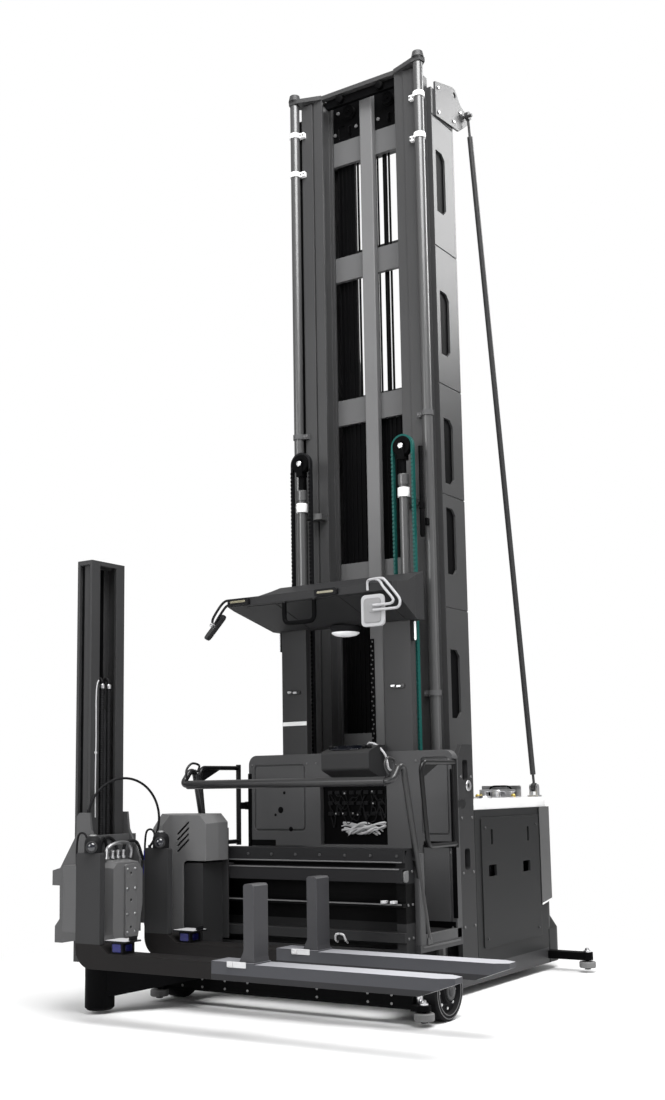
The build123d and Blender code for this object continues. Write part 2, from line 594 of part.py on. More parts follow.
# Crosshead above the ladder: a plate with two hose pulleys on pins and a lug below each
PULLEY_R = 46.0
HEAD_LOW = INNER_TOP * bar_at[0] + BAR_H / 2
PULLEY_Z = INNER_TOP - 78
with BuildPart() as mast_crosshead:
    with BuildSketch(Plane.XZ.offset(-LADDER_Y - 14)):
        with Locations((0, (HEAD_LOW + INNER_TOP) / 2)):
            Rectangle(2 * INNER_OUT, INNER_TOP - HEAD_LOW)
        with Locations((-225, HEAD_LOW + 70), (235, HEAD_LOW + 70)):
            RectangleRounded(60, 90, 16, mode=Mode.SUBTRACT)
    extrude(amount=14)
    for x in (-150, 170):
        rim = Plane(origin=(x, LADDER_Y, PULLEY_Z), x_dir=(1, 0, 0), z_dir=(0, 0, 1))
        with BuildSketch(rim):
            Polygon((0, -50), (12, -50), (12, -38), (PULLEY_R - 14, -38), (PULLEY_R, -42), (PULLEY_R, -36),
                    (PULLEY_R - 8, -30), (PULLEY_R - 8, -22), (PULLEY_R, -16), (PULLEY_R, -10),
                    (PULLEY_R - 14, -14),
                    (12, -14), (12, 0), (0, 0), align=None)
        revolve(axis=Axis((x, LADDER_Y, PULLEY_Z), (0, 1, 0)))
        with BuildSketch(Plane.YZ.offset(x - 5)):
            Polygon((LADDER_Y, HEAD_LOW + 20), (LADDER_Y, HEAD_LOW + 104), (LADDER_Y - 34, HEAD_LOW + 74),
                    (LADDER_Y - 34, HEAD_LOW + 34), align=None)
        extrude(amount=10)
mast_crosshead.part.label = "mast_crosshead"
export_step(mast_crosshead.part, "parts/mast_crosshead.step")

# Ribbed hose trays and rigid pipes behind the ladder, held by a clip at each bar
TRAY_Y = LADDER_Y + 30
TRAY_TOP = INNER_TOP * bar_at[0]
TRAY_LOW = INNER_TOP * bar_at[-1]
# left edge, right edge, grooves, top
trays = [(-285, -146, 4, TRAY_TOP), (-146, 282, 12, INNER_TOP * bar_at[2])]
pipes = [(-128, 8), (8, 14), (34, 7), (92, 16), (126, 8)]                # place across the mast, radius
with BuildPart() as mast_hoses:
    for left, right, count, top in trays:
        with BuildSketch(Plane.XY.offset(TRAY_LOW)):
            with Locations(((left + right) / 2, TRAY_Y + 13)):
                Rectangle(right - left, 26)
            groove = (right - left) / count
            for i in range(count):
                with Locations((left + groove * (i + 0.5), TRAY_Y + 4)):
                    Rectangle(groove - 10, 8, mode=Mode.SUBTRACT)
        extrude(amount=top - TRAY_LOW)
    for x, radius in pipes:
        with BuildSketch(Plane.XY.offset(TRAY_LOW)):
            with Locations((x, TRAY_Y + 18)):
                Circle(radius)
        extrude(amount=TRAY_TOP - TRAY_LOW)
    for share in bar_at:
        with Locations((-6, TRAY_Y + 18, INNER_TOP * share)):
            Box(300, 36, 40)
mast_hoses.part.label = "mast_hoses"
export_step(mast_hoses.part, "parts/mast_hoses.step")

# Chain cylinders on the inner mast and their brackets
BRACKET_END = RAIL_FRONT + 10
with BuildPart() as chain_barrels:
    for s in (-1, 1):
        with BuildSketch(Plane(origin=(s * FREE_X, FREE_Y, 0), x_dir=(1, 0, 0), z_dir=(0, -1, 0))):
            Polygon((0, 420), (30, 420), (30, FREE_TOP - 65), (36, FREE_TOP - 65), (36, FREE_TOP),
                    (30, FREE_TOP + 5),
                    (0, FREE_TOP + 5), align=None)
        revolve(axis=Axis((s * FREE_X, FREE_Y, 0), (0, 0, 1)))
    for z in (380, FREE_TOP - 180):
        with BuildSketch(Plane.XY.offset(z)):
            for s in (-1, 1):
                Polygon((s * (FREE_X - 25), FREE_Y), (s * (FREE_X + 25), FREE_Y),
                        (s * (FREE_X + 25), RAIL_FRONT - 26),
                        (s * (INNER_OUT - 2), RAIL_FRONT - 10), (s * (INNER_OUT - 2), BRACKET_END),
                        (s * (INNER_IN + 8), BRACKET_END), (s * (INNER_IN + 8), RAIL_FRONT - 60),
                        (s * (FREE_X - 25), RAIL_FRONT - 80), align=None)
        extrude(amount=40)
    for s in (-1, 1):
        with BuildSketch(Plane.XY.offset(700)):
            with Locations((s * FREE_X, FREE_Y)):
                Circle(20 + RUN_GAP)
        extrude(amount=FREE_TOP, mode=Mode.SUBTRACT)
chain_barrels.part.label = "chain_barrels"
export_step(chain_barrels.part, "parts/chain_barrels.step")

# Rods, clevises and turned sheaves on top of the chain cylinders
with BuildPart() as sheave_heads:
    for s in (-1, 1):
        with Locations((s * FREE_X, FREE_Y, (705 + SHEAVE_Z - 70) / 2)):
            Cylinder(20, SHEAVE_Z - 70 - 705)
        with Locations((s * FREE_X, FREE_Y, SHEAVE_Z - 78)):
            Box(46, 64, 18)
        for dy in (-32, 24):
            with BuildSketch(Plane(origin=(s * FREE_X, FREE_Y + dy, SHEAVE_Z), x_dir=(1, 0, 0),
                                   z_dir=(0, 1, 0))):
                with Locations((0, 42)):
                    Rectangle(46, 84)
                Circle(23)
            extrude(amount=8)
        with BuildSketch(Plane(origin=(s * FREE_X, FREE_Y, SHEAVE_Z), x_dir=(1, 0, 0), z_dir=(0, 0, 1))):
            Polygon((0, -32), (14, -32), (14, -20), (26, -20), (26, -8), (50, -8), (50, -17), (SHEAVE_R, -17),
                    (SHEAVE_R, 17), (50, 17), (50, 8), (26, 8), (26, 20), (14, 20), (14, 32), (0, 32),
                    align=None)
        revolve(axis=Axis((s * FREE_X, FREE_Y, SHEAVE_Z), (0, 1, 0)))
sheave_heads.part.label = "sheave_heads"
export_step(sheave_heads.part, "parts/sheave_heads.step")

# Leaf chains over the sheaves: the inner run goes to the platform, the outer one to the mast foot
CHAIN_T = 13.0
runs = [(-1, DECK_Z + 866), (1, 620)]                # side of the sheave, lower end
with BuildPart() as lift_chains:
    for s in (-1, 1):
        with BuildSketch(Plane(origin=(s * FREE_X, FREE_Y + 15, SHEAVE_Z), x_dir=(1, 0, 0),
                               z_dir=(0, -1, 0))):
            Circle(SHEAVE_R + RUN_GAP + CHAIN_T)
            Circle(SHEAVE_R + RUN_GAP, mode=Mode.SUBTRACT)
            with Locations((0, -SHEAVE_R - 50)):
                Rectangle(300, 2 * SHEAVE_R + 100, mode=Mode.SUBTRACT)
            for side, z_end in runs:
                with Locations((s * side * (SHEAVE_R + RUN_GAP + CHAIN_T / 2), (z_end - SHEAVE_Z) / 2)):
                    Rectangle(CHAIN_T, SHEAVE_Z - z_end)
        extrude(amount=30)
lift_chains.part.label = "lift_chains"
export_step(lift_chains.part, "parts/lift_chains.step")

# Platform carriage: a folded plate with cheeks that run in the inner mast and holds the chain ends
CARR_HALF = INNER_IN - 10
CARR_FRONT = WALL_REAR + 80
CARR_BASE = DECK_Z + 166
CARR_H = WALL_TOP - CARR_BASE
CARR_PAD_X = FREE_X - SHEAVE_R - 135  # middle of the pads to the wall, inside the chains
with BuildPart() as platform_carriage:
    with BuildSketch(Plane.XY.offset(CARR_BASE)):
        with Locations((0, CARR_FRONT + 12)):
            Rectangle(2 * CARR_HALF, 24)
        for s in (-1, 1):
            with Locations((s * (CARR_HALF - 10), (CARR_FRONT + RUN_Y + 50) / 2)):
                Rectangle(20, RUN_Y + 50 - CARR_FRONT)
    extrude(amount=CARR_H)
    with BuildSketch(Plane.XZ.offset(-CARR_FRONT - 30)):
        for dz in (0.25, 0.75):
            with Locations((0, CARR_BASE + CARR_H * dz)):
                RectangleRounded(CARR_HALF, 240, 40)
    extrude(amount=40, mode=Mode.SUBTRACT)
    for s in (-1, 1):
        with Locations((s * CARR_PAD_X, (WALL_REAR + CARR_FRONT) / 2, CARR_BASE + 500)):
            Box(60, CARR_FRONT - WALL_REAR, 800)
        for z in (CARR_BASE + 120, CARR_BASE + CARR_H - 120):
            with Locations((s * (CARR_HALF + 15), RUN_Y, z)):
                Cylinder(RAIL_DEPTH / 2 - 30 - RUN_GAP, 34, rotation=(0, 90, 0))
        with Locations((s * (FREE_X - SHEAVE_R - 20), CARR_FRONT + 17, DECK_Z + 896)):
            Box(70, 14, 60)
platform_carriage.part.label = "platform_carriage"
export_step(platform_carriage.part, "parts/platform_carriage.step")

# Platform deck: a tray turned upside down
with BuildPart() as platform_deck:
    with Locations((0, (DECK_FRONT + WALL_REAR) / 2, DECK_Z + DECK_T / 2)):
        Box(2 * CAB_HALF, WALL_REAR - DECK_FRONT, DECK_T)
    for x in (-CAB_HALF / 2, CAB_HALF / 2):
        with Locations((x, (DECK_FRONT + WALL_REAR) / 2, DECK_Z + DECK_T / 2 - 10)):
            Box(CAB_HALF - 50, WALL_REAR - DECK_FRONT - 60, DECK_T - 20, mode=Mode.SUBTRACT)
platform_deck.part.label = "platform_deck"
export_step(platform_deck.part, "parts/platform_deck.step")

# Traverse frame in front of the platform: channel rails between two uprights, a shelf and a closing panel
# base above the platform's underside, height, front face from the deck edge, depth
frame_rails = [(494, 77, -120, 120), (390, 78, -150, 90), (256, 20, -130, 110), (66, 52, -120, 100),
               (0, 26, -100, 100)]
with BuildPart() as traverse_frame:
    for s in (-1, 1):
        with BuildSketch(Plane.YZ.offset(s * (FRAME_HALF - 60))):
            Polygon((DECK_FRONT - 100, DECK_Z), (DECK_FRONT, DECK_Z), (DECK_FRONT, DECK_Z + 571),
                    (DECK_FRONT - 70, DECK_Z + 571), (DECK_FRONT - 100, DECK_Z + 520), align=None)
        extrude(amount=s * 60)
    with BuildSketch(Plane.YZ.offset(-FRAME_HALF)):
        for base, height, front, depth in frame_rails:
            with Locations((DECK_FRONT + front + depth / 2, DECK_Z + base + height / 2)):
                Rectangle(depth, height)
                if height > 50:
                    with Locations((10, 0)):
                        Rectangle(depth - 20, height - 20, mode=Mode.SUBTRACT)
        with Locations((DECK_FRONT - 56, DECK_Z + 489)):
            Rectangle(8, 10)
    extrude(amount=2 * FRAME_HALF)
    with Locations((0, DECK_FRONT - 30, DECK_Z + 266)):
        Box(2 * FRAME_HALF - 40, 20, 520)
traverse_frame.part.label = "traverse_frame"
export_step(traverse_frame.part, "parts/traverse_frame.step")

# Rear wall of the platform with panel fields, the open wiring recess and the gate hinge sockets
fields = [(-505, 0.28, 400, 420), (-505, 0.75, 400, 420), (625, 0.28, 190, 460), (625, 0.75, 190, 460)]
with BuildPart() as back_wall:
    with BuildSketch(Plane.XZ.offset(-WALL_REAR)):
        with Locations((0, (DECK_TOP + WALL_TOP) / 2)):
            Rectangle(2 * CAB_HALF, WALL_TOP - DECK_TOP)
        fillet(vertices().group_by(Axis.Y)[-1], radius=60)
    extrude(amount=WALL_REAR - WALL_FRONT)
    with BuildSketch(Plane.XZ.offset(-WALL_FRONT - 8)):
        for x, share, width, height in fields:
            with Locations((x, DECK_TOP + (WALL_TOP - DECK_TOP) * share)):
                RectangleRounded(width, height, 24)
                RectangleRounded(width - 24, height - 24, 16, mode=Mode.SUBTRACT)
    extrude(amount=20, mode=Mode.SUBTRACT)
    with Locations((48, WALL_FRONT + 20, DECK_TOP + 704)):
        Box(486, 40, 366, mode=Mode.SUBTRACT)
    for s in (-1, 1):
        with Locations((s * (CAB_HALF - 20), HINGE_Y, HINGE_Z)):
            Cylinder(12 + RUN_GAP, 60, rotation=(0, 90, 0), mode=Mode.SUBTRACT)
back_wall.part.label = "back_wall"
export_step(back_wall.part, "parts/back_wall.step")

# Posts of the overhead guard: channels open to the rear
with BuildPart() as cab_posts:
    with BuildSketch(Plane.XY.offset(WALL_TOP)):
        for s in (-1, 1):
            with Locations((s * (POST_IN + POST_OUT) / 2, WALL_REAR - 32)):
                Rectangle(POST_OUT - POST_IN, 46)
                with Locations((0, 10)):
                    Rectangle(POST_OUT - POST_IN - 24, 34, mode=Mode.SUBTRACT)
    extrude(amount=ROOF_Z - WALL_TOP)
cab_posts.part.label = "cab_posts"
export_step(cab_posts.part, "parts/cab_posts.step")

# Overhead guard: a wedge that thins and widens towards the front, open below between ribs, with a grab handle
ROOF_MID = (ROOF_FRONT + ROOF_REAR) / 2
bays = [(-470, -240), (-225, 225), (240, 470)]
with BuildPart() as overhead_guard:
    with BuildSketch(Plane.YZ.offset(-700)):
        Polygon((ROOF_FRONT, ROOF_Z + 128), (ROOF_FRONT, ROOF_Z + 178), (ROOF_MID, ROOF_Z + 218),
                (ROOF_REAR, ROOF_Z + 305), (ROOF_REAR, ROOF_Z), (ROOF_REAR - 90, ROOF_Z), align=None)
    extrude(amount=1400)
    with BuildSketch(Plane.XY.offset(ROOF_Z - 50)):
        Polygon((-600, ROOF_FRONT - 10), (600, ROOF_FRONT - 10), (600, ROOF_FRONT + 60),
                (540, ROOF_REAR - 100),
                (540, ROOF_REAR + 10), (-540, ROOF_REAR + 10), (-540, ROOF_REAR - 100),
                (-600, ROOF_FRONT + 60),
                align=None)
    extrude(amount=500, mode=Mode.INTERSECT)
    for x0, x1 in bays:
        with BuildSketch(Plane.YZ.offset(x0)):
            Polygon((ROOF_FRONT + 16, ROOF_Z + 90), (ROOF_FRONT + 16, ROOF_Z + 166), (ROOF_MID, ROOF_Z + 204),
                    (ROOF_REAR - 110, ROOF_Z + 250), (ROOF_REAR - 110, ROOF_Z - 20), align=None)
        extrude(amount=x1 - x0, mode=Mode.SUBTRACT)
    with BuildLine() as handle_path:
        FilletPolyline((-170, ROOF_FRONT + 8, ROOF_Z + 135), (-170, ROOF_FRONT + 8, ROOF_Z - 10),
                       (50, ROOF_FRONT + 8, ROOF_Z - 10), (50, ROOF_FRONT + 8, ROOF_Z + 135), radius=30)
    with BuildSketch(Plane(origin=handle_path.line @ 0, z_dir=handle_path.line % 0)):
        Circle(8)
    sweep()
overhead_guard.part.label = "overhead_guard"
export_step(overhead_guard.part, "parts/overhead_guard.step")

# Lamps of the overhead guard: two front bars, a dome below and two slim side lamps
with BuildPart() as roof_lamps:
    with BuildSketch(Plane.XZ.offset(-ROOF_FRONT)):
        with Locations((-505, ROOF_Z + 153), (150, ROOF_Z + 153)):
            RectangleRounded(160, 42, 12)
    extrude(amount=24)
    with Locations((0, ROOF_REAR - 55, ROOF_Z - 23)):
        Cylinder(96, 46)
    fillet(roof_lamps.edges().filter_by(GeomType.CIRCLE).sort_by(Axis.Z)[0], radius=40)
    for s in (-1, 1):
        with Locations((s * (POST_OUT + 9), WALL_REAR - 36, ROOF_Z - 66)):
            Box(18, 24, 128)
roof_lamps.part.label = "roof_lamps"
export_step(roof_lamps.part, "parts/roof_lamps.step")

# Mirrors on bent tube arms at the front corners of the overhead guard
MIRROR_Y = ROOF_FRONT - 46
MIRROR_Z = ROOF_Z + 12
with BuildPart() as mirrors:
    with BuildLine() as right_arm:
        FilletPolyline((440, ROOF_FRONT - 8.2, ROOF_Z + 135), (440, ROOF_FRONT - 8.2, ROOF_Z + 196),
                       (560, MIRROR_Y + 14, ROOF_Z + 196), (670, MIRROR_Y + 14, ROOF_Z + 60),
                       (670, MIRROR_Y + 14, MIRROR_Z), (540, MIRROR_Y + 14, MIRROR_Z), radius=24)
    with BuildSketch(Plane(origin=right_arm.line @ 0, z_dir=right_arm.line % 0)):
        Circle(8)
    sweep()
    with BuildSketch(Plane.XZ.offset(-MIRROR_Y - 8)):
        with Locations((480, MIRROR_Z)):
            RectangleRounded(160, 188, 28)
    extrude(amount=14)
    with BuildLine() as left_arm:
        FilletPolyline((-608.2, ROOF_FRONT + 20, ROOF_Z + 135), (-608.2, ROOF_FRONT + 20, ROOF_Z + 192),
                       (-705, ROOF_FRONT, ROOF_Z + 192), (-690, ROOF_FRONT - 20, MIRROR_Z), radius=24)
    with BuildSketch(Plane(origin=left_arm.line @ 0, z_dir=left_arm.line % 0)):
        Circle(8)
    sweep()
    lean = Plane(origin=(-690, ROOF_FRONT - 20, MIRROR_Z), x_dir=(-0.707, 0.562, 0.42), z_dir=(0.62, 0.78, 0))
    with BuildSketch(lean):
        RectangleRounded(150, 190, 28)
    extrude(amount=12, both=True)
mirrors.part.label = "mirrors"
export_step(mirrors.part, "parts/mirrors.step")

# Front guard rail: one bent tube hooked over at both ends, with a thick sleeve along the front
GUARD_FRONT = DECK_FRONT - 250
with BuildPart() as guard_rail:
    with BuildLine() as rail_path:
        FilletPolyline((-GUARD_X, DECK_FRONT + 105, DECK_TOP + 26),
                       (-GUARD_X, DECK_FRONT - 140, GUARD_Z + 122),
                       (-GUARD_X, GUARD_FRONT, GUARD_Z), (GUARD_X, GUARD_FRONT, GUARD_Z),
                       (GUARD_X, DECK_FRONT - 140, GUARD_Z + 122),
                       (GUARD_X, DECK_FRONT + 105, DECK_TOP + 26), radius=38)
    with BuildSketch(Plane(origin=rail_path.line @ 0, z_dir=rail_path.line % 0)):
        Circle(GUARD_R)
    sweep()
    with Locations((0, GUARD_FRONT, GUARD_Z)):
        Cylinder(GUARD_R + 8, 2 * GUARD_X - 90, rotation=(0, 90, 0))
    for s in (-1, 1):
        with Locations((s * (FRAME_HALF + 10), DECK_FRONT - 4, DECK_Z + 532)):
            Box(20, 40, 60)
        with Locations((s * GUARD_X, DECK_FRONT + 100, DECK_TOP + 18)):
            Box(30, 50, 36)
guard_rail.part.label = "guard_rail"
export_step(guard_rail.part, "parts/guard_rail.step")

# Control console with a sloping top, on a bracket from the rear wall
CONSOLE_TOP = WALL_TOP + 40
with BuildPart() as console:
    with BuildSketch(Plane.YZ.offset(-50)) as desk:
        Polygon((WALL_FRONT, CONSOLE_TOP), (WALL_FRONT - 70, CONSOLE_TOP),
                (WALL_FRONT - 200, CONSOLE_TOP - 40),
                (WALL_FRONT - 200, CONSOLE_TOP - 150), (WALL_FRONT - 60, CONSOLE_TOP - 200),
                (WALL_FRONT, CONSOLE_TOP - 200), align=None)
        fillet(desk.vertices().group_by(Axis.X)[0], radius=18)
    extrude(amount=340)
console.part.label = "console"
export_step(console.part, "parts/console.step")

# Side gates: a bent bar with a corner gusset, hung on a hinge pin in the rear wall
GATE_TOP = DECK_TOP + 1008
GATE_LOW = DECK_TOP + 540
GATE_REAR = HINGE_Y - 90
for label, side in (("gate_right", 1), ("gate_left", -1)):
    with BuildPart() as gate:
        gx = side * GATE_X
        with BuildLine() as gate_path:
            FilletPolyline((gx, GATE_REAR, GATE_TOP), (gx, DECK_FRONT - 25, GATE_TOP),
                           (gx, DECK_FRONT + 40, GATE_LOW),
                           (gx, GATE_REAR, GATE_LOW), radius=50)
        with BuildSketch(Plane(origin=gate_path.line @ 0, z_dir=gate_path.line % 0)):
            Circle(GATE_R)
        sweep()
        with Locations((gx, GATE_REAR, (GATE_TOP + GATE_LOW) / 2)):
            Cylinder(GATE_R + 2, GATE_TOP - GATE_LOW + 2 * GATE_R + 16)
        with BuildSketch(Plane.YZ.offset(gx - 3)):
            Polygon((DECK_FRONT + 20, GATE_TOP), (DECK_FRONT + 210, GATE_TOP),
                    (DECK_FRONT - 8, GATE_TOP - 90), align=None)
        extrude(amount=6)
        with BuildSketch(Plane.YZ.offset(gx - 10)):
            with Locations(((GATE_REAR + HINGE_Y) / 2, HINGE_Z)):
                Rectangle(HINGE_Y - GATE_REAR, 44)
            with Locations((HINGE_Y, HINGE_Z)):
                Circle(26)
        extrude(amount=20)
        with Locations((side * (GATE_X + CAB_HALF - 36) / 2, HINGE_Y, HINGE_Z)):
            Cylinder(12, GATE_X - CAB_HALF + 36, rotation=(0, 90, 0))
    gate.part.label = label
    export_step(gate.part, "parts/" + label + ".step")

# Traverse carriage: moulded cover with bevelled shoulders, diagonal vents and an open corner for the drive
# box
BEVEL_Y = COVER_FRONT + 100
BOX_L = COVER_L + 318
BOX_TOP = COVER_BASE + 483
# plane, left edge, left shoulder height, top from x, top, top to x, right shoulder height, right edge
cover_sections = [(COVER_FRONT, 160, 688, 215, 748, 445, 698, 490), (BEVEL_Y, 0, 668, 70, 754, 455, 703, 505),
                  (COVER_REAR, 0, 668, 70, 754, 455, 703, 505)]
with BuildPart() as traverse_cover:
    for skin, mode in ((0, Mode.ADD), (WALL, Mode.SUBTRACT)):
        for first, last in zip(cover_sections, cover_sections[1:]):
            for y, left, lift_l, top_l, top, top_r, lift_r, right in (first, last):
                with BuildSketch(Plane.XZ.offset(-y - (skin if y == COVER_FRONT else 0))):
                    with Locations((COVER_L, COVER_BASE)):
                        Polygon((left + skin, skin), (left + skin, lift_l - skin), (top_l + skin, top - skin),
                                (top_r - skin, top - skin), (right - skin, lift_r - skin),
                                (right - skin, skin),
                                align=None)
            loft(ruled=True, mode=mode)
    with BuildSketch(Plane.XZ.offset(-COVER_FRONT + 20)) as corner:
        with Locations(((BOX_L + COVER_R + 20) / 2, (COVER_BASE + BOX_TOP) / 2 - 20)):
            Rectangle(COVER_R + 20 - BOX_L, BOX_TOP - COVER_BASE + 40)
        fillet(corner.vertices().group_by(Axis.Y)[-1].sort_by(Axis.X)[0], radius=34)
    extrude(amount=-(COVER_REAR - COVER_FRONT) - 40, mode=Mode.SUBTRACT)
    with BuildSketch(Plane.XZ.offset(-COVER_FRONT + 20)):
        for i in range(4):
            with Locations((COVER_L + 318, COVER_TOP - 185 + 34 * i)):
                SlotOverall(116, 12, rotation=40)
    extrude(amount=-60, mode=Mode.SUBTRACT)
traverse_cover.part.label = "traverse_cover"
export_step(traverse_cover.part, "parts/traverse_cover.step")

# Back plate, drive box in the open corner, and the sliding shoe on the lower traverse rail
COVER_MID = (COVER_L + COVER_R) / 2
with BuildPart() as traverse_drive:
    with Locations((COVER_MID, COVER_REAR + 5, COVER_BASE + 348)):
        Box(COVER_R - COVER_L, 10, 640)
    with BuildSketch(Plane.XZ.offset(-COVER_REAR)) as case:
        with Locations(((BOX_L + COVER_R - 40) / 2, (COVER_BASE + BOX_TOP) / 2 - 6)):
            Rectangle(COVER_R - 40 - BOX_L - 8, BOX_TOP - COVER_BASE - 16)
        fillet(case.vertices().group_by(Axis.Y)[-1].sort_by(Axis.X)[0], radius=30)
    extrude(amount=COVER_REAR - COVER_FRONT - 6)
    with BuildSketch(Plane.YZ.offset(COVER_L)):
        Polygon((COVER_REAR, TRACK_TOP + RUN_GAP), (DECK_FRONT - 105, TRACK_TOP + RUN_GAP),
                (DECK_FRONT - 105, TRACK_TOP + 10), (COVER_REAR, TRACK_TOP + 10), align=None)
    extrude(amount=COVER_R - COVER_L)
traverse_drive.part.label = "traverse_drive"
export_step(traverse_drive.part, "parts/traverse_drive.step")

# Swivel arm: tapered in plan and below, ending in the boss of the turret
ARM_Y = COVER_FRONT + 2
with BuildPart() as swivel_arm:
    with BuildSketch(Plane.XY.offset(ARM_BASE - 60)):
        Polygon((PIVOT_X - 62, PIVOT_Y + 50), (COVER_L + 130, ARM_Y + 53), (COVER_R - 20, ARM_Y + 53),
                (COVER_R - 20, ARM_Y), (PIVOT_X + 70, PIVOT_Y - 36), align=None)
    extrude(amount=COVER_BASE - ARM_BASE + 60)
    with BuildSketch(Plane.XZ.offset(-DECK_FRONT)):
        Polygon((PIVOT_X - 80, ARM_BASE), (COVER_L + 130, ARM_BASE), (COVER_R, ARM_BASE + 80),
                (COVER_R, ARM_TOP),
                (PIVOT_X - 80, ARM_TOP), align=None)
    extrude(amount=1000, mode=Mode.INTERSECT)
    with Locations((COVER_R - 140, ARM_Y + 26.5, (ARM_TOP + COVER_BASE) / 2)):
        Box(240, 53, COVER_BASE - ARM_TOP)
    with BuildSketch(Plane(origin=(PIVOT_X, PIVOT_Y, 0), x_dir=(1, 0, 0), z_dir=(0, -1, 0))):
        Polygon((0, 20), (BOSS_R - 14, 20), (BOSS_R, 34), (BOSS_R, AUX_BASE - 6), (0, AUX_BASE - 6),
                align=None)
    revolve(axis=Axis((PIVOT_X, PIVOT_Y, 0), (0, 0, 1)))
    with Locations((PIVOT_X, PIVOT_Y, AUX_BASE / 2)):
        Cylinder(PIN_R + RUN_GAP, 400, mode=Mode.SUBTRACT)
swivel_arm.part.label = "swivel_arm"
export_step(swivel_arm.part, "parts/swivel_arm.step")

# Turret: base plate on the pivot pin, two I rails, a back plate and a top plate
with BuildPart() as aux_mast:
    with Locations((PIVOT_X, PIVOT_Y, (30 + AUX_BASE) / 2)):
        Cylinder(PIN_R, AUX_BASE - 30)
    with Locations((AUX_MID, PIVOT_Y, AUX_BASE + 15)):
        Box(AUX_X1 - AUX_X0, 2 * AUX_HALF, 30)
    with BuildSketch(Plane.XY.offset(AUX_BASE + 30)):
        for s in (-1, 1):
            with Locations((AUX_MID, PIVOT_Y + s * (AUX_HALF - 28))):
                Rectangle(AUX_X1 - AUX_X0, 14)
            for x in (AUX_X0 + 9, AUX_X1 - 9):
                with Locations((x, PIVOT_Y + s * (AUX_HALF - 35))):
                    Rectangle(18, 70)
    extrude(amount=AUX_TOP - AUX_BASE - 56)
    with Locations((AUX_MID, PIVOT_Y, AUX_TOP - 13)):
        Box(AUX_X1 - AUX_X0, 2 * AUX_HALF, 26)
    with Locations((AUX_X0 + 6, PIVOT_Y, (AUX_BASE + AUX_TOP) / 2)):
        Box(12, 2 * AUX_HALF - 60, AUX_TOP - AUX_BASE)
aux_mast.part.label = "aux_mast"
export_step(aux_mast.part, "parts/aux_mast.step")

# Fork lift cylinder inside the turret mast, and its head with the chain
AUX_SHEAVE_Z = AUX_BASE + 1405
AUX_SHEAVE_R = 29.0
AUX_ROD_R = 16.0
with BuildPart() as aux_barrel:
    with BuildSketch(Plane.XY.offset(AUX_BASE + 30)):
        with Locations((AUX_MID, PIVOT_Y)):
            Circle(AUX_ROD_R + 10)
            Circle(AUX_ROD_R + RUN_GAP, mode=Mode.SUBTRACT)
    extrude(amount=1150)
aux_barrel.part.label = "aux_barrel"
export_step(aux_barrel.part, "parts/aux_barrel.step")

with BuildPart() as aux_head:
    with Locations((AUX_MID, PIVOT_Y, (AUX_BASE + 155 + AUX_SHEAVE_Z) / 2)):
        Cylinder(AUX_ROD_R, AUX_SHEAVE_Z - AUX_BASE - 155)
    with Locations((AUX_MID, PIVOT_Y, AUX_SHEAVE_Z)):
        Cylinder(AUX_SHEAVE_R, 26, rotation=(90, 0, 0))
aux_head.part.label = "aux_head"
export_step(aux_head.part, "parts/aux_head.step")

with BuildPart() as aux_chain:
    with BuildSketch(Plane(origin=(AUX_MID, PIVOT_Y + 10, AUX_SHEAVE_Z), x_dir=(1, 0, 0), z_dir=(0, -1, 0))):
        Circle(AUX_SHEAVE_R + RUN_GAP + 9)
        Circle(AUX_SHEAVE_R + RUN_GAP, mode=Mode.SUBTRACT)
        with Locations((0, -60)):
            Rectangle(120, 120, mode=Mode.SUBTRACT)
        for side, drop in ((1, 700), (-1, 1180)):
            with Locations((side * (AUX_SHEAVE_R + RUN_GAP + 4.5), -drop / 2)):
                Rectangle(9, drop)
    extrude(amount=20)
aux_chain.part.label = "aux_chain"
export_step(aux_chain.part, "parts/aux_chain.step")

# Fork carriage: front plate that holds the shanks, hooked side plates along the turret, rollers inside the
# rails
HEAD_BACK = AUX_X1 + 10
HEAD_Z = FORK_TOP + 340
PLATE_Y = AUX_HALF + 10
# along the forks and up, from the pivot axis and the load face
hooks = [(160, 62), (160, 480), (110, 580), (75, 645), (62, 743), (-15, 743), (-37, 720), (-37, 620),
         (-162, 431),
         (-222, 416), (-222, 332), (-164, 332), (-162, 145), (-198, 104), (-198, 13), (-140, 13)]
with BuildPart() as fork_carriage:
    with Locations((HEAD_BACK + 14, PIVOT_Y, HEAD_Z)):
        Box(28, 2 * FORK_IN, 550)
    for s in (-1, 1):
        with BuildSketch(Plane(origin=(PIVOT_X, PIVOT_Y + s * PLATE_Y, FORK_TOP), x_dir=(1, 0, 0),
                               z_dir=(0, -1, 0))):
            Polygon(*hooks, align=None)
        extrude(amount=-s * 15)
        with Locations(((SHANK_BACK + HEAD_BACK) / 2, PIVOT_Y + s * FORK_MID, HEAD_Z - 60)):
            Box(SHANK_BACK - HEAD_BACK, FORK_OUT - FORK_IN, 360)
        with Locations(((AUX_MID - 30 + HEAD_BACK) / 2, PIVOT_Y + s * 54, HEAD_Z)):
            Box(HEAD_BACK - AUX_MID + 30, 16, 500)
        for dz in (-185, 185):
            with Locations((AUX_MID, PIVOT_Y + s * 80, HEAD_Z + dz)):
                Cylinder((AUX_X1 - AUX_X0) / 2 - 18 - RUN_GAP, 40, rotation=(90, 0, 0))
fork_carriage.part.label = "fork_carriage"
export_step(fork_carriage.part, "parts/fork_carriage.step")

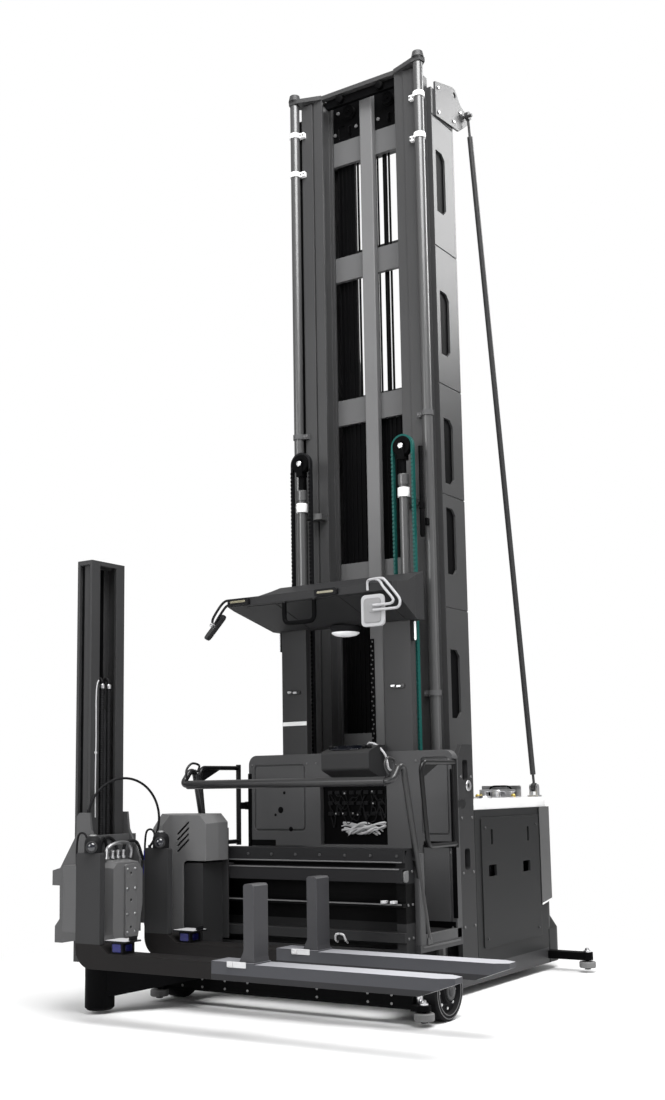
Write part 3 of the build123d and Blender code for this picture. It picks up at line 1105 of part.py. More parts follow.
# Light housing in the middle of the fork carriage, with cut corners and a centre rib
HOUSING_L = PIVOT_X + 210
with BuildPart() as head_housing:
    with BuildSketch(Plane.YZ.offset(HEAD_BACK + 28)):
        Polygon((PIVOT_Y - 140, FORK_TOP + 60), (PIVOT_Y - 140, FORK_TOP + 440),
                (PIVOT_Y - 100, FORK_TOP + 480),
                (PIVOT_Y + 90, FORK_TOP + 480), (PIVOT_Y + 140, FORK_TOP + 420),
                (PIVOT_Y + 140, FORK_TOP + 220),
                (PIVOT_Y + 100, FORK_TOP + 20), (PIVOT_Y - 110, FORK_TOP + 20), align=None)
    extrude(amount=HOUSING_L - HEAD_BACK - 28, taper=8)
    with BuildSketch(Plane.YZ.offset(HOUSING_L - 6)) as rib:
        with Locations((PIVOT_Y + 8, FORK_TOP + 250)):
            RectangleRounded(90, 400, 14)
        with Locations((PIVOT_Y + 8, FORK_TOP + 400), (PIVOT_Y + 8, FORK_TOP + 250),
                       (PIVOT_Y + 8, FORK_TOP + 100)):
            Circle(8, mode=Mode.SUBTRACT)
    extrude(amount=22)
head_housing.part.label = "head_housing"
export_step(head_housing.part, "parts/head_housing.step")

# Fork arms: plate shanks that curve into a heel, running into the light blade sleeves
with BuildPart() as fork_arms:
    for s, root in zip((-1, 1), SHANK_Y):
        with BuildSketch(Plane(origin=(0, PIVOT_Y + root, 0), x_dir=(1, 0, 0), z_dir=(0, -1, 0))) as shank:
            Polygon((SHANK_BACK, FORK_BASE), (SHANK_BACK, SHANK_TOP), (SHANK_FRONT, SHANK_TOP),
                    (SHANK_FRONT, FORK_BASE), align=None)
            fillet(shank.vertices().group_by(Axis.X)[0].sort_by(Axis.Y)[0], radius=110)
            fillet(shank.vertices().group_by(Axis.Y)[-1], radius=12)
        extrude(amount=-SHANK_T)
        with BuildSketch(Plane(origin=(0, PIVOT_Y + s * FORK_OUT, 0), x_dir=(1, 0, 0),
                               z_dir=(0, -1, 0))) as arm:
            Polygon((SHANK_BACK, FORK_BASE), (SHANK_BACK, FORK_TOP + 40), (SHANK_FRONT, FORK_TOP + 40),
                    (SHANK_FRONT + 60, FORK_TOP), (SLEEVE_X, FORK_TOP), (SLEEVE_X, FORK_BASE), align=None)
            fillet(arm.vertices().group_by(Axis.X)[0].sort_by(Axis.Y)[0], radius=110)
        extrude(amount=s * (FORK_OUT - FORK_IN))
fork_arms.part.label = "fork_arms"
export_step(fork_arms.part, "parts/fork_arms.step")

# Blades: thinned below towards the tip and cut off at its corners
with BuildPart() as fork_blades:
    for s in (-1, 1):
        with BuildSketch(Plane(origin=(0, PIVOT_Y + s * FORK_OUT, 0), x_dir=(1, 0, 0), z_dir=(0, -1, 0))):
            Polygon((SLEEVE_X, FORK_TOP + PAD_T), (PAD_END, FORK_TOP + PAD_T), (PAD_END, FORK_TOP),
                    (FORK_TIP, FORK_TOP), (FORK_TIP, FORK_TOP - 26), (FORK_TIP - 170, FORK_BASE),
                    (SLEEVE_X, FORK_BASE), align=None)
        extrude(amount=s * (FORK_OUT - FORK_IN))
    with BuildSketch(Plane.XY.offset(FORK_BASE)):
        for s in (-1, 1):
            for flank, turn in ((FORK_IN, 1), (FORK_OUT, -1)):
                Polygon((FORK_TIP + 5, PIVOT_Y + s * flank),
                        (FORK_TIP + 5, PIVOT_Y + s * (flank + turn * 38)),
                        (FORK_TIP - 70, PIVOT_Y + s * flank), align=None)
    extrude(amount=FORK_T + PAD_T, mode=Mode.SUBTRACT)
fork_blades.part.label = "fork_blades"
export_step(fork_blades.part, "parts/fork_blades.step")

# Upright load stops with a flared foot on the blades
STOP_X = PAD_END - 42
STOP_H = 384.0
with BuildPart() as load_stops:
    for s in (-1, 1):
        with BuildSketch(Plane(origin=(STOP_X, PIVOT_Y + s * FORK_MID, FORK_TOP + PAD_T), z_dir=(0, 0, 1))):
            Rectangle(64, 122)
        extrude(amount=STOP_H)
        with BuildSketch(Plane(origin=(STOP_X, PIVOT_Y + s * FORK_MID + 61, FORK_TOP + PAD_T),
                               x_dir=(1, 0, 0),
                               z_dir=(0, -1, 0))):
            Polygon((-60, 0), (38, 0), (30, 34), (-30, 60), align=None)
        extrude(amount=122)
    chamfer(load_stops.edges().filter_by(Axis.Y).group_by(Axis.Z)[-1], length=10)
load_stops.part.label = "load_stops"
export_step(load_stops.part, "parts/load_stops.step")

# Domed cameras on the shank tops and scanners under a bracket plate at the heels
with BuildPart() as fork_sensors:
    for s, root in zip((-1, 1), SHANK_Y):
        mid = PIVOT_Y + s * FORK_MID
        with Locations((SHANK_FRONT - 70, PIVOT_Y + root + SHANK_T / 2, SHANK_TOP + 46)):
            Cylinder(48, 92)
        fillet(fork_sensors.edges().filter_by(GeomType.CIRCLE).group_by(Axis.Z)[-1], radius=42)
        with Locations((SHANK_FRONT + 104, mid, FORK_TOP + 30)):
            Box(80, 96, 60)
        with Locations((SHANK_FRONT + 105, mid, FORK_TOP + 64)):
            Box(150, 120, 8)
        with Locations((SHANK_FRONT + 176, mid, FORK_TOP + 79)):
            Box(8, 60, 24)
fork_sensors.part.label = "fork_sensors"
export_step(fork_sensors.part, "parts/fork_sensors.step")

# Hose arch with ferrules, from the near side plate to the far shank
with BuildPart() as hose_arch:
    start = Vector(PIVOT_X + 50, PIVOT_Y - PLATE_Y - 7.5, FORK_TOP + 751)
    end = Vector(PIVOT_X + 170, PIVOT_Y + FORK_IN + SHANK_T / 2, SHANK_TOP + 8)
    with BuildLine() as arch_path:
        ThreePointArc(start, (start + end) / 2 + Vector(0, 0, 290), end)
    with BuildSketch(Plane(origin=arch_path.line @ 0, z_dir=arch_path.line % 0)):
        Circle(7)
    sweep()
    with Locations(start, end):
        Cylinder(10, 16)
hose_arch.part.label = "hose_arch"
export_step(hose_arch.part, "parts/hose_arch.step")
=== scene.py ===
import math

import bpy
import numpy as np
from mathutils import Matrix, Vector


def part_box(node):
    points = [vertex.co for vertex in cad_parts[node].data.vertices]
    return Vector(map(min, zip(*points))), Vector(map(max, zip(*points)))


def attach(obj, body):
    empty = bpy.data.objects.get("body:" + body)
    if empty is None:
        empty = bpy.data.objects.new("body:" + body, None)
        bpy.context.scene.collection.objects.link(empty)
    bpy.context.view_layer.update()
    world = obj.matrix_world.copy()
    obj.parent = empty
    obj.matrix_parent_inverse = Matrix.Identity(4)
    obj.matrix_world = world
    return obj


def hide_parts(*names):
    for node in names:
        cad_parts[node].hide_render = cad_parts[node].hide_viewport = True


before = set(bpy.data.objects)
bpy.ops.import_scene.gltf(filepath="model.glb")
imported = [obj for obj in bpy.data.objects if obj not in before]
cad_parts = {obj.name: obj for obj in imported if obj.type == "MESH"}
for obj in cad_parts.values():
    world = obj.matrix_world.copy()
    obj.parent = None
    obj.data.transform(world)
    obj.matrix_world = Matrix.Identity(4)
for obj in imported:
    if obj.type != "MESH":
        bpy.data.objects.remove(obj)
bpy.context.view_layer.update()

scene = bpy.context.scene
SIDES = (1.0, -1.0)
SIDE_NAMES = ("right", "left")
FRONT, BACK, UP = (0, -1, 0), (0, 1, 0), (0, 0, 1)
OUTWARD = [(s, 0, 0) for s in SIDES]
WHITE = (1, 1, 1, 1)


# Node groups shared by the finishes

def start_group(name, inputs, outputs):
    """A new shader node group with named number sockets, and its input and output nodes."""
    group = bpy.data.node_groups.new(name, "ShaderNodeTree")
    for label, value in inputs.items():
        socket = group.interface.new_socket(label, in_out="INPUT", socket_type="NodeSocketFloat")
        socket.default_value = value
    for label in outputs:
        group.interface.new_socket(label, in_out="OUTPUT", socket_type="NodeSocketFloat")
    return group, group.nodes.new("NodeGroupInput"), group.nodes.new("NodeGroupOutput")


def add(tree, kind, **values):
    """A node with its properties set and its inputs given by name."""
    node = tree.nodes.new(kind)
    for key, value in values.items():
        if key in node.bl_rna.properties:
            setattr(node, key, value)
        else:
            node.inputs[key.replace("_", " ").title()].default_value = value
    return node


def link(tree, source, output, target, socket):
    """Joins an output of one node to an input of another."""
    tree.links.new(source.outputs[output], target.inputs[socket])


def make_grain_group():
    """Fine orange-peel of sprayed paint: one small noise as height, one broad noise as a tone mask."""
    scales = {"Fine Scale": 260.0, "Broad Scale": 1.6}
    group, given, out = start_group("paint_grain", scales, ("Height", "Tone"))
    coords = add(group, "ShaderNodeTexCoord")
    for scale, detail, result in (("Fine Scale", 2.0, "Height"), ("Broad Scale", 4.0, "Tone")):
        noise = add(group, "ShaderNodeTexNoise", detail=detail)
        link(group, coords, "Object", noise, "Vector")
        link(group, given, scale, noise, "Scale")
        link(group, noise, "Fac", out, result)
    return group


def scaled_mask(group, given, out, first, second):
    """Two masks and the group's amount multiplied into its Mask."""
    both = add(group, "ShaderNodeMath", operation="MULTIPLY")
    scaled = add(group, "ShaderNodeMath", operation="MULTIPLY")
    link(group, first, "Result", both, 0)
    group.links.new(second, both.inputs[1])
    link(group, both, "Value", scaled, 0)
    link(group, given, "Amount", scaled, 1)
    link(group, scaled, "Value", out, "Mask")


def make_wear_and_highlight_group():
    """Pale edges, partly wear and partly painted highlight: where a softened normal leaves the true one,
    broken up by noise.
    """
    group, given, out = start_group("edge_wear_and_highlight", {"Radius": 0.004, "Amount": 0.5}, ("Mask",))
    coords = add(group, "ShaderNodeTexCoord")
    soft = add(group, "ShaderNodeBevel", samples=4)
    true_normal = add(group, "ShaderNodeNewGeometry")
    dot = add(group, "ShaderNodeVectorMath", operation="DOT_PRODUCT")
    edge = add(group, "ShaderNodeMapRange", from_min=0.99, from_max=0.8)
    noise = add(group, "ShaderNodeTexNoise", scale=7.0, detail=5.0)
    patches = add(group, "ShaderNodeMapRange", from_min=0.35, from_max=0.65)
    link(group, given, "Radius", soft, "Radius")
    link(group, soft, "Normal", dot, 0)
    link(group, true_normal, "True Normal", dot, 1)
    link(group, dot, "Value", edge, "Value")
    link(group, coords, "Object", noise, "Vector")
    link(group, noise, "Fac", patches, "Value")
    scaled_mask(group, given, out, edge, patches.outputs["Result"])
    return group


def make_dust_group():
    """Thin dust: more on faces that look up, thinned by a broad noise."""
    group, given, out = start_group("shop_dust", {"Amount": 0.2}, ("Mask",))
    coords = add(group, "ShaderNodeTexCoord")
    geometry = add(group, "ShaderNodeNewGeometry")
    parts = add(group, "ShaderNodeSeparateXYZ")
    upward = add(group, "ShaderNodeMapRange", from_min=0.2)
    noise = add(group, "ShaderNodeTexNoise", scale=3.0, detail=6.0)
    link(group, geometry, "Normal", parts, "Vector")
    link(group, parts, "Z", upward, "Value")
    link(group, coords, "Object", noise, "Vector")
    scaled_mask(group, given, out, upward, noise.outputs["Fac"])
    return group


GRAIN, WEAR_AND_HIGHLIGHT, DUST = make_grain_group(), make_wear_and_highlight_group(), make_dust_group()
DUST_COLOUR = (0.45, 0.44, 0.42, 1.0)
SOFT_EDGE = 0.0035


def placed_group(tree, group, **values):
    """One use of a shared group with its own values."""
    node = tree.nodes.new("ShaderNodeGroup")
    node.node_tree = group
    for key, value in values.items():
        node.inputs[key.replace("_", " ").title()].default_value = value
    return node


def mixed(tree, first, second, mask):
    """Colour mix: first where the mask is 0, second where it is 1; each is a socket or a colour."""
    node = add(tree, "ShaderNodeMix", data_type="RGBA")
    for value, socket in ((first, node.inputs[6]), (second, node.inputs[7])):
        if isinstance(value, tuple):
            socket.default_value = value
        else:
            tree.links.new(value, socket)
    tree.links.new(mask, node.inputs["Factor"])
    return node.outputs[2]


def shaded(name, values):
    """A new material with its shader's inputs given by name; gives the material, its tree and the shader."""
    mat = bpy.data.materials.new(name)
    mat.use_nodes = True
    shader = mat.node_tree.nodes["Principled BSDF"]
    for label, value in values.items():
        shader.inputs[label].default_value = value
    return mat, mat.node_tree, shader


def coated(name, colour, roughness, worn_and_highlight_colour=None, grain=0.0004, wear_and_highlight=0.5, dust=0.12, tone=0.25, specular=0.25):
    """Paint or plastic: broad tone changes, pale edges of wear and painted highlight, dust on top, and fine
    grain in the normal.
    """
    mat, tree, shader = shaded(name, {"Roughness": roughness, "Specular IOR Level": specular})
    base = (*colour, 1.0)
    deep = tuple(c * (1 - tone) for c in colour) + (1.0,)
    pale = (*worn_and_highlight_colour, 1.0) if worn_and_highlight_colour else tuple(min(1.0, c * 2.2 + 0.03) for c in colour) + (1.0,)
    skin = placed_group(tree, GRAIN)
    tinted = mixed(tree, deep, base, skin.outputs["Tone"])
    # Edge colour: on dark paint the edges turn paler, partly wear and partly painted highlight.
    edges = placed_group(tree, WEAR_AND_HIGHLIGHT, amount=wear_and_highlight)
    worn_and_highlit = mixed(tree, tinted, pale, edges.outputs["Mask"])
    film = placed_group(tree, DUST, amount=dust)
    tree.links.new(mixed(tree, worn_and_highlit, DUST_COLOUR, film.outputs["Mask"]), shader.inputs["Base Color"])
    soft = add(tree, "ShaderNodeBevel", samples=4, radius=SOFT_EDGE)
    bump = add(tree, "ShaderNodeBump", strength=0.5, distance=grain)
    link(tree, skin, "Height", bump, "Height")
    link(tree, soft, "Normal", bump, "Normal")
    link(tree, bump, "Normal", shader, "Normal")
    return mat


def bare_metal(name, colour, roughness):
    """Bare metal: fully metallic, its roughness varied by noise."""
    mat, tree, shader = shaded(name, {"Base Color": (*colour, 1.0), "Metallic": 1.0})
    skin = placed_group(tree, GRAIN, fine_scale=60.0, broad_scale=9.0)
    spread = add(tree, "ShaderNodeMapRange", to_min=roughness * 0.7, to_max=min(1.0, roughness * 1.4))
    link(tree, skin, "Tone", spread, "Value")
    link(tree, spread, "Result", shader, "Roughness")
    return mat


def glowing(name, colour, strength):
    """Lamp lens: a pale glossy plastic that gives a little light."""
    tint = (*colour, 1.0)
    return shaded(name, {"Base Color": tint, "Roughness": 0.15, "Emission Color": tint,
                         "Emission Strength": strength})[0]


def plain_gloss(name, colour, roughness, metallic=0.0, coat=0.0):
    """One even glossy colour, for glass, lenses and mirror."""
    return shaded(name, {"Base Color": (*colour, 1.0), "Roughness": roughness, "Metallic": metallic,
                         "Coat Weight": coat})[0]


def reading(tree, reads, axis):
    """One axis of the way a face looks, or of the place on the truck, as a number."""
    if reads == "facing":
        source = add(tree, "ShaderNodeNewGeometry").outputs["True Normal"]
    else:
        source = add(tree, "ShaderNodeTexCoord").outputs["Object"]
    parts = add(tree, "ShaderNodeSeparateXYZ")
    tree.links.new(source, parts.inputs["Vector"])
    return parts.outputs[axis]


def split_paint(mat, other, reads, axis, start):
    """Gives a paint a second colour past a limit: of the way a face looks, or of the place on the truck."""
    tree = mat.node_tree
    base = tree.nodes["Principled BSDF"].inputs["Base Color"]
    first = base.links[0].from_socket
    step = add(tree, "ShaderNodeMath", operation="GREATER_THAN")
    step.inputs[1].default_value = start
    tree.links.new(reading(tree, reads, axis), step.inputs[0])
    second = (*other, 1.0) if isinstance(other, tuple) else other
    tree.links.new(mixed(tree, first, second, step.outputs["Value"]), base)


def faded(mat, near, far, axis, start, end):
    """A colour that runs evenly from one to another between two places along an axis of the truck."""
    tree = mat.node_tree
    share = add(tree, "ShaderNodeMapRange", from_min=start, from_max=end)
    tree.links.new(reading(tree, "place", axis), share.inputs["Value"])
    return mixed(tree, (*near, 1.0), (*far, 1.0), share.outputs["Result"])


def two_toned(name, colour, other, reads, axis, start, roughness, specular=0.1):
    """Paint of two colours, the second past a limit."""
    mat = coated(name, colour, roughness, wear_and_highlight=0.3, dust=0.02, specular=specular)
    split_paint(mat, other, reads, axis, start)
    return mat


# Heights at which a paint changes
WHITE_CLAMPS_FROM = 5.0
# below this height the fork blade's flank is near-black as painted shade
BLADE_SHADE_TO = 0.328
ARM_SHANK_FROM = 0.43
# the traverse frame is near-black between these two heights as painted shade in the gap under the beam
LOW_PANEL_TO = 0.5
BEAM_FROM = 0.715

charcoal = coated("charcoal_paint", (0.044, 0.044, 0.046), 0.45)
deep_grey = coated("deep_grey_paint", (0.026, 0.026, 0.027), 0.5, dust=0.06)
mast_grey = coated("mast_grey_paint", (0.052, 0.052, 0.053), 0.38)
turret_grey = coated("turret_grey_paint", (0.042, 0.042, 0.043), 0.42)
bar_grey = coated("bar_grey_paint", (0.118, 0.118, 0.12), 0.45)
post_grey = coated("centre_post_paint", (0.155, 0.155, 0.157), 0.45)
wall_grey = coated("wall_grey_paint", (0.07, 0.07, 0.072), 0.5)
cab_grey = coated("cab_post_paint", (0.037, 0.037, 0.038), 0.42)
black = coated("black_paint", (0.0022, 0.0022, 0.0025), 0.55, wear_and_highlight=0.2, dust=0.01, specular=0.04)
gate_black = coated("gate_black_paint", (0.016, 0.016, 0.017), 0.3, wear_and_highlight=0.25, dust=0.06, specular=0.5)
gate_tube_black = coated("gate_tube_paint", (0.004, 0.004, 0.0045), 0.3, wear_and_highlight=0.2, dust=0.02, specular=0.3)
light_grey = coated("light_grey_paint", (0.14, 0.14, 0.142), 0.42)
cheek_grey = coated("cheek_grey_paint", (0.088, 0.088, 0.09), 0.42)
stop_grey = coated("stop_grey_paint", (0.046, 0.046, 0.05), 0.4, wear_and_highlight=0.8)
panel_grey = coated("panel_grey_paint", (0.019, 0.0194, 0.02), 0.45, specular=0.14)
white = coated("white_cover_paint", (0.8, 0.8, 0.8), 0.35, worn_and_highlight_colour=(0.7, 0.7, 0.7), tone=0.05)
trim_grey = coated("trim_grey_paint", (0.105, 0.105, 0.106), 0.4, specular=0.15)
black_plastic = coated("black_plastic", (0.01, 0.01, 0.011), 0.55, wear_and_highlight=0.2, dust=0.03, specular=0.1)
rubber = coated("wheel_rubber", (0.01, 0.01, 0.011), 0.7, wear_and_highlight=0.2, dust=0.06, specular=0.08)
roller_grey = coated("roller_grey", (0.2, 0.2, 0.2), 0.6, dust=0.2)
barrel_paint = coated("barrel_paint", (0.06, 0.06, 0.061), 0.3, wear_and_highlight=0.2, specular=0.9)
steel = bare_metal("clamp_steel", (0.72, 0.72, 0.73), 0.3)
chrome = bare_metal("rod_chrome", (0.85, 0.85, 0.86), 0.12)
chain_steel = bare_metal("chain_steel", (0.1, 0.1, 0.105), 0.4)
battery = coated("battery_case", (0.06, 0.06, 0.065), 0.6)
mirror_glass = plain_gloss("mirror_glass", (0.55, 0.56, 0.57), 0.08, metallic=1.0)
lens_dark = plain_gloss("dark_lens", (0.006, 0.007, 0.012), 0.06, coat=1.0)
lens_blue = plain_gloss("blue_lens", (0.005, 0.007, 0.11), 0.3)
clamp_paint = two_toned("clamp_paint", (0.1, 0.1, 0.102), (0.86, 0.86, 0.86),
                        "place", "Z", WHITE_CLAMPS_FROM, 0.35)
mirror_back = coated("mirror_back", (0.27, 0.27, 0.275), 0.45, wear_and_highlight=0.2, dust=0.02)
brass = bare_metal("valve_brass", (0.62, 0.47, 0.14), 0.35)
blue_cable = coated("blue_cable", (0.012, 0.018, 0.3), 0.4, wear_and_highlight=0.0, tone=0.1)
teal_hose = coated("teal_hose", (0.008, 0.075, 0.066), 0.4, wear_and_highlight=0.1, dust=0.03)
pale_cable = coated("pale_cable", (0.55, 0.55, 0.56), 0.45, wear_and_highlight=0.0, tone=0.1)
warm_lamp = glowing("warm_lamp_lens", (0.2, 0.185, 0.13), 0.05)
white_lamp = glowing("white_lamp_lens", (0.95, 0.96, 0.97), 0.2)
mat_rubber = coated("floor_mat_rubber", (0.02, 0.02, 0.02), 0.8, grain=0.002, wear_and_highlight=0.0)
# Fork blades: the lower flank is near-black as painted shade under the blade, the flank above it grey, and
# faces that look up pale as a painted highlight that grows paler towards the tips.
blade_shade_and_highlight_paint = two_toned("blade_shade_and_highlight_paint", (0.028, 0.028, 0.03), (0.056, 0.057, 0.063),
                        "place", "Z", BLADE_SHADE_TO, 0.36)
blade_top_highlight = faded(blade_shade_and_highlight_paint, (0.1, 0.1, 0.11), (0.5, 0.5, 0.53), "X", -0.3, 1.2)
split_paint(blade_shade_and_highlight_paint, blade_top_highlight, "facing", "Z", 0.7)
arm_paint = two_toned("arm_paint", (0.012, 0.011, 0.011), (0.034, 0.034, 0.035),
                      "place", "Z", ARM_SHANK_FROM, 0.45)
mirror_paint = two_toned("mirror_paint", (0.014, 0.014, 0.015), (0.4, 0.4, 0.41),
                         "place", "X", 0.0, 0.4)
chain_paint = two_toned("chain_paint", (0.01, 0.01, 0.011), (0.008, 0.075, 0.066),
                        "place", "X", 0.0, 0.42)
canopy_paint = two_toned("canopy_paint", (0.028, 0.028, 0.029), (0.028, 0.028, 0.029),
                         "facing", "Z", -0.4, 0.5)
# Traverse frame: grey low panel, then a near-black band up to BEAM_FROM as painted shade in the gap under the
# beam, then the beam's own grey.
beam_paint_and_shade = two_toned("beam_paint_and_shade", (0.03, 0.03, 0.031), (0.0028, 0.0028, 0.003),
                       "place", "Z", LOW_PANEL_TO, 0.5, specular=0.06)
split_paint(beam_paint_and_shade, (0.018, 0.018, 0.019), "place", "Z", BEAM_FROM)

FINISHES = [
    (charcoal, "chassis_frame platform_deck platform_carriage"),
    (deep_grey, "mast_supports traverse_drive console"),
    (canopy_paint, "overhead_guard"),
    (cab_grey, "cab_posts mast_stays"),
    (mast_grey, "outer_mast mast_ties inner_mast mast_heads"),
    (turret_grey, "aux_mast"),
    (bar_grey, "mast_ladder"),
    (post_grey, "centre_post"),
    (wall_grey, "back_wall"),
    (arm_paint, "fork_arms"),
    (beam_paint_and_shade, "traverse_frame"),
    (panel_grey, "rear_housing side_panels rear_skirt"),
    (black, "front_bumper guide_arms swivel_arm drive_unit mast_hoses mast_crosshead sheave_heads"),
    (gate_tube_black, "gate_right gate_left"),
    (gate_black, "guard_rail"),
    (light_grey, "traverse_cover head_housing"),
    (cheek_grey, "fork_carriage"),
    (stop_grey, "load_stops"),
    (blade_shade_and_highlight_paint, "fork_blades"),
    (mirror_paint, "mirrors"),
    (chain_paint, "lift_chains"),
    (trim_grey, "corner_trims"),
    (white, "top_cover"),
    (black_plastic, "roof_lamps fork_sensors hose_arch"),
    (rubber, "load_wheel_right load_wheel_left drive_wheel"),
    (roller_grey, "guide_roller_front_right guide_roller_front_left"),
    (roller_grey, "guide_roller_rear_right guide_roller_rear_left"),
    (steel, "top_fittings"),
    (clamp_paint, "barrel_clamps"),
    (barrel_paint, "lift_barrels chain_barrels aux_barrel"),
    (chrome, "lift_rods aux_head"),
    (chain_steel, "aux_chain"),
    (battery, "battery_block"),
]
for finish, names in FINISHES:
    for name in names.split():
        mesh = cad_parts[name].data
        mesh.materials.clear()
        mesh.materials.append(finish)


# Mesh makers: each gives points and faces as arrays

def grid_faces(rows, cols, closed_rows=False, closed_cols=False):
    """Quads between neighbours of a grid of points, joined up where a direction is closed."""
    r = np.arange(rows if closed_rows else rows - 1)
    c = np.arange(cols if closed_cols else cols - 1)
    r, c = np.meshgrid(r, c, indexing="ij")
    nr, nc = (r + 1) % rows, (c + 1) % cols
    return np.stack([r * cols + c, r * cols + nc, nr * cols + nc, nr * cols + c], -1).reshape(-1, 4)


def capped(rings):
    """A closed skin over rings of equal point counts: quads between rings, one face on each end ring."""
    rows, cols = rings.shape[:2]
    ends = np.array([np.arange(cols)[::-1], np.arange(cols) + (rows - 1) * cols])
    return rings.reshape(-1, 3), [grid_faces(rows, cols, closed_cols=True), ends]


def circles(profile, sides):
    """A profile of (radius, height) turned about z: x = r cos t, y = r sin t, z = h."""
    r, h = np.array(profile, float).T
    t = np.linspace(0, 2 * np.pi, sides, endpoint=False)
    return np.stack([r[:, None] * np.cos(t), r[:, None] * np.sin(t), h[:, None] + 0 * t], -1)


def turned(profile, sides=16):
    """A profile turned about z, with a flat face at each end."""
    return capped(circles(profile, sides))


def ringed(profile, sides=28):
    """A closed profile turned about z, so that the ring stays open in the middle."""
    rings = circles(profile, sides)
    return rings.reshape(-1, 3), [grid_faces(len(rings), sides, closed_rows=True, closed_cols=True)]


def rounded_outline(width, depth, radius, steps=4):
    """Rectangle with quarter-circle corners: corner centre plus radius times (cos, sin), corner by corner."""
    radius = min(radius, width / 2 - 1e-6, depth / 2 - 1e-6)
    quarter = np.linspace(0, np.pi / 2, steps)
    turns = np.concatenate([quarter + k * np.pi / 2 for k in range(4)])
    cx = np.repeat([1, -1, -1, 1], steps) * (width / 2 - radius)
    cy = np.repeat([1, 1, -1, -1], steps) * (depth / 2 - radius)
    return np.stack([cx + radius * np.cos(turns), cy + radius * np.sin(turns)], -1)


def slab(width, depth, height, corner=0.004, edge=0.002):
    """Plate on z = 0: the rounded outline at four heights, drawn in by the edge at the first and last."""
    heights = np.array([0, edge, height - edge, height])
    insets = np.array([edge, 0, 0, edge])
    outlines = [rounded_outline(width - 2 * i, depth - 2 * i, max(corner - i, 0.0005)) for i in insets]
    levels = np.broadcast_to(heights[:, None, None], (4, len(outlines[0]), 1))
    return capped(np.concatenate([np.array(outlines), levels], -1))


def frames_for(normals):
    """Turning matrices whose third column is each normal."""
    n = np.atleast_2d(np.array(normals, float))
    n = n / np.linalg.norm(n, axis=1, keepdims=True)
    ref = np.where(np.abs(n[:, 2:3]) < 0.9, [[0.0, 0.0, 1.0]], [[0.0, 1.0, 0.0]])
    a = np.cross(ref, n)
    a = a / np.linalg.norm(a, axis=1, keepdims=True)
    return np.stack([a, np.cross(n, a), n], -1)


def scattered(shape, centres, normals):
    """Copies of one shape: vertex = centre + turning matrix times shape vertex, for all copies at once."""
    verts, faces = shape
    centres = np.atleast_2d(np.array(centres, float))
    turns = frames_for(np.broadcast_to(np.array(normals, float), centres.shape))
    points = centres[:, None] + np.einsum("kij,vj->kvi", turns, verts)
    shift = np.arange(len(centres))[:, None, None] * len(verts)
    return points.reshape(-1, 3), [(f[None] + shift).reshape(-1, f.shape[1]) for f in faces]


def set_down(shape, centre, across, normal):
    """One shape moved to a centre, its x axis along a direction and its z axis along a normal."""
    verts, faces = shape
    n = np.array(normal, float) / np.linalg.norm(normal)
    a = np.array(across, float) - n * np.dot(across, n)
    a /= np.linalg.norm(a)
    return np.array(centre, float) + verts @ np.stack([a, np.cross(n, a), n]), faces


def smooth_route(points, per_span=10):
    """Catmull-Rom curve through the points: each span blends four neighbours by cubic weights."""
    p = np.array(points, float)
    p = np.concatenate([2 * p[:1] - p[1:2], p, 2 * p[-1:] - p[-2:-1]])
    t = np.linspace(0, 1, per_span, endpoint=False)[:, None]
    w = [-t + 2 * t**2 - t**3, 2 - 5 * t**2 + 3 * t**3, t + 4 * t**2 - 3 * t**3, t**3 - t**2]
    spans = sum(p[k:len(p) - 3 + k, None, :] * w[k] / 2 for k in range(4))
    return np.concatenate([spans.reshape(-1, 3), p[-2:-1]])


def tube(route, radius, sides=10):
    """A circle carried along a route: point + radius (cos t · side + sin t · up) in the route's frame."""
    route = np.array(route, float)
    along = np.gradient(route, axis=0)
    along /= np.linalg.norm(along, axis=1, keepdims=True)
    spread = np.abs(along).mean(0)
    ref = np.eye(3)[np.argmin(spread)]
    side = np.cross(along, ref)
    side /= np.linalg.norm(side, axis=1, keepdims=True)
    up = np.cross(along, side)
    t = np.linspace(0, 2 * np.pi, sides, endpoint=False)[None, :, None]
    rings = route[:, None] + radius * (np.cos(t) * side[:, None] + np.sin(t) * up[:, None])
    return capped(rings)


def joined(*shapes):
    """Several shapes as one: points stacked, face numbers shifted."""
    points, faces, count = [], [], 0
    for verts, groups in shapes:
        points.append(verts)
        faces += [g + count for g in groups]
        count += len(verts)
    return np.concatenate(points), faces


def piece(name, shape, finish, body, smooth=True):
    """Puts a shape into the scene: its mesh in place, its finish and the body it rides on."""
    verts, groups = shape
    mesh = bpy.data.meshes.new(name)
    mesh.from_pydata(verts.tolist(), [], [face for g in groups for face in g.tolist()])
    mesh.polygons.foreach_set("use_smooth", np.full(len(mesh.polygons), smooth))
    mesh.set_sharp_from_angle(angle=math.radians(35))
    mesh.materials.append(finish)
    mesh.update()
    obj = bpy.data.objects.new(name, mesh)
    scene.collection.objects.link(obj)
    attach(obj, body)
    return obj


# Sizes of the truck that the small pieces stand on, most of them read from the CAD nodes

def lowest(name):
    """Lowest corner of a CAD node, in metres."""
    return np.array(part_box(name)[0], float)


def highest(name):
    """Highest corner of a CAD node, in metres."""
    return np.array(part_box(name)[1], float)


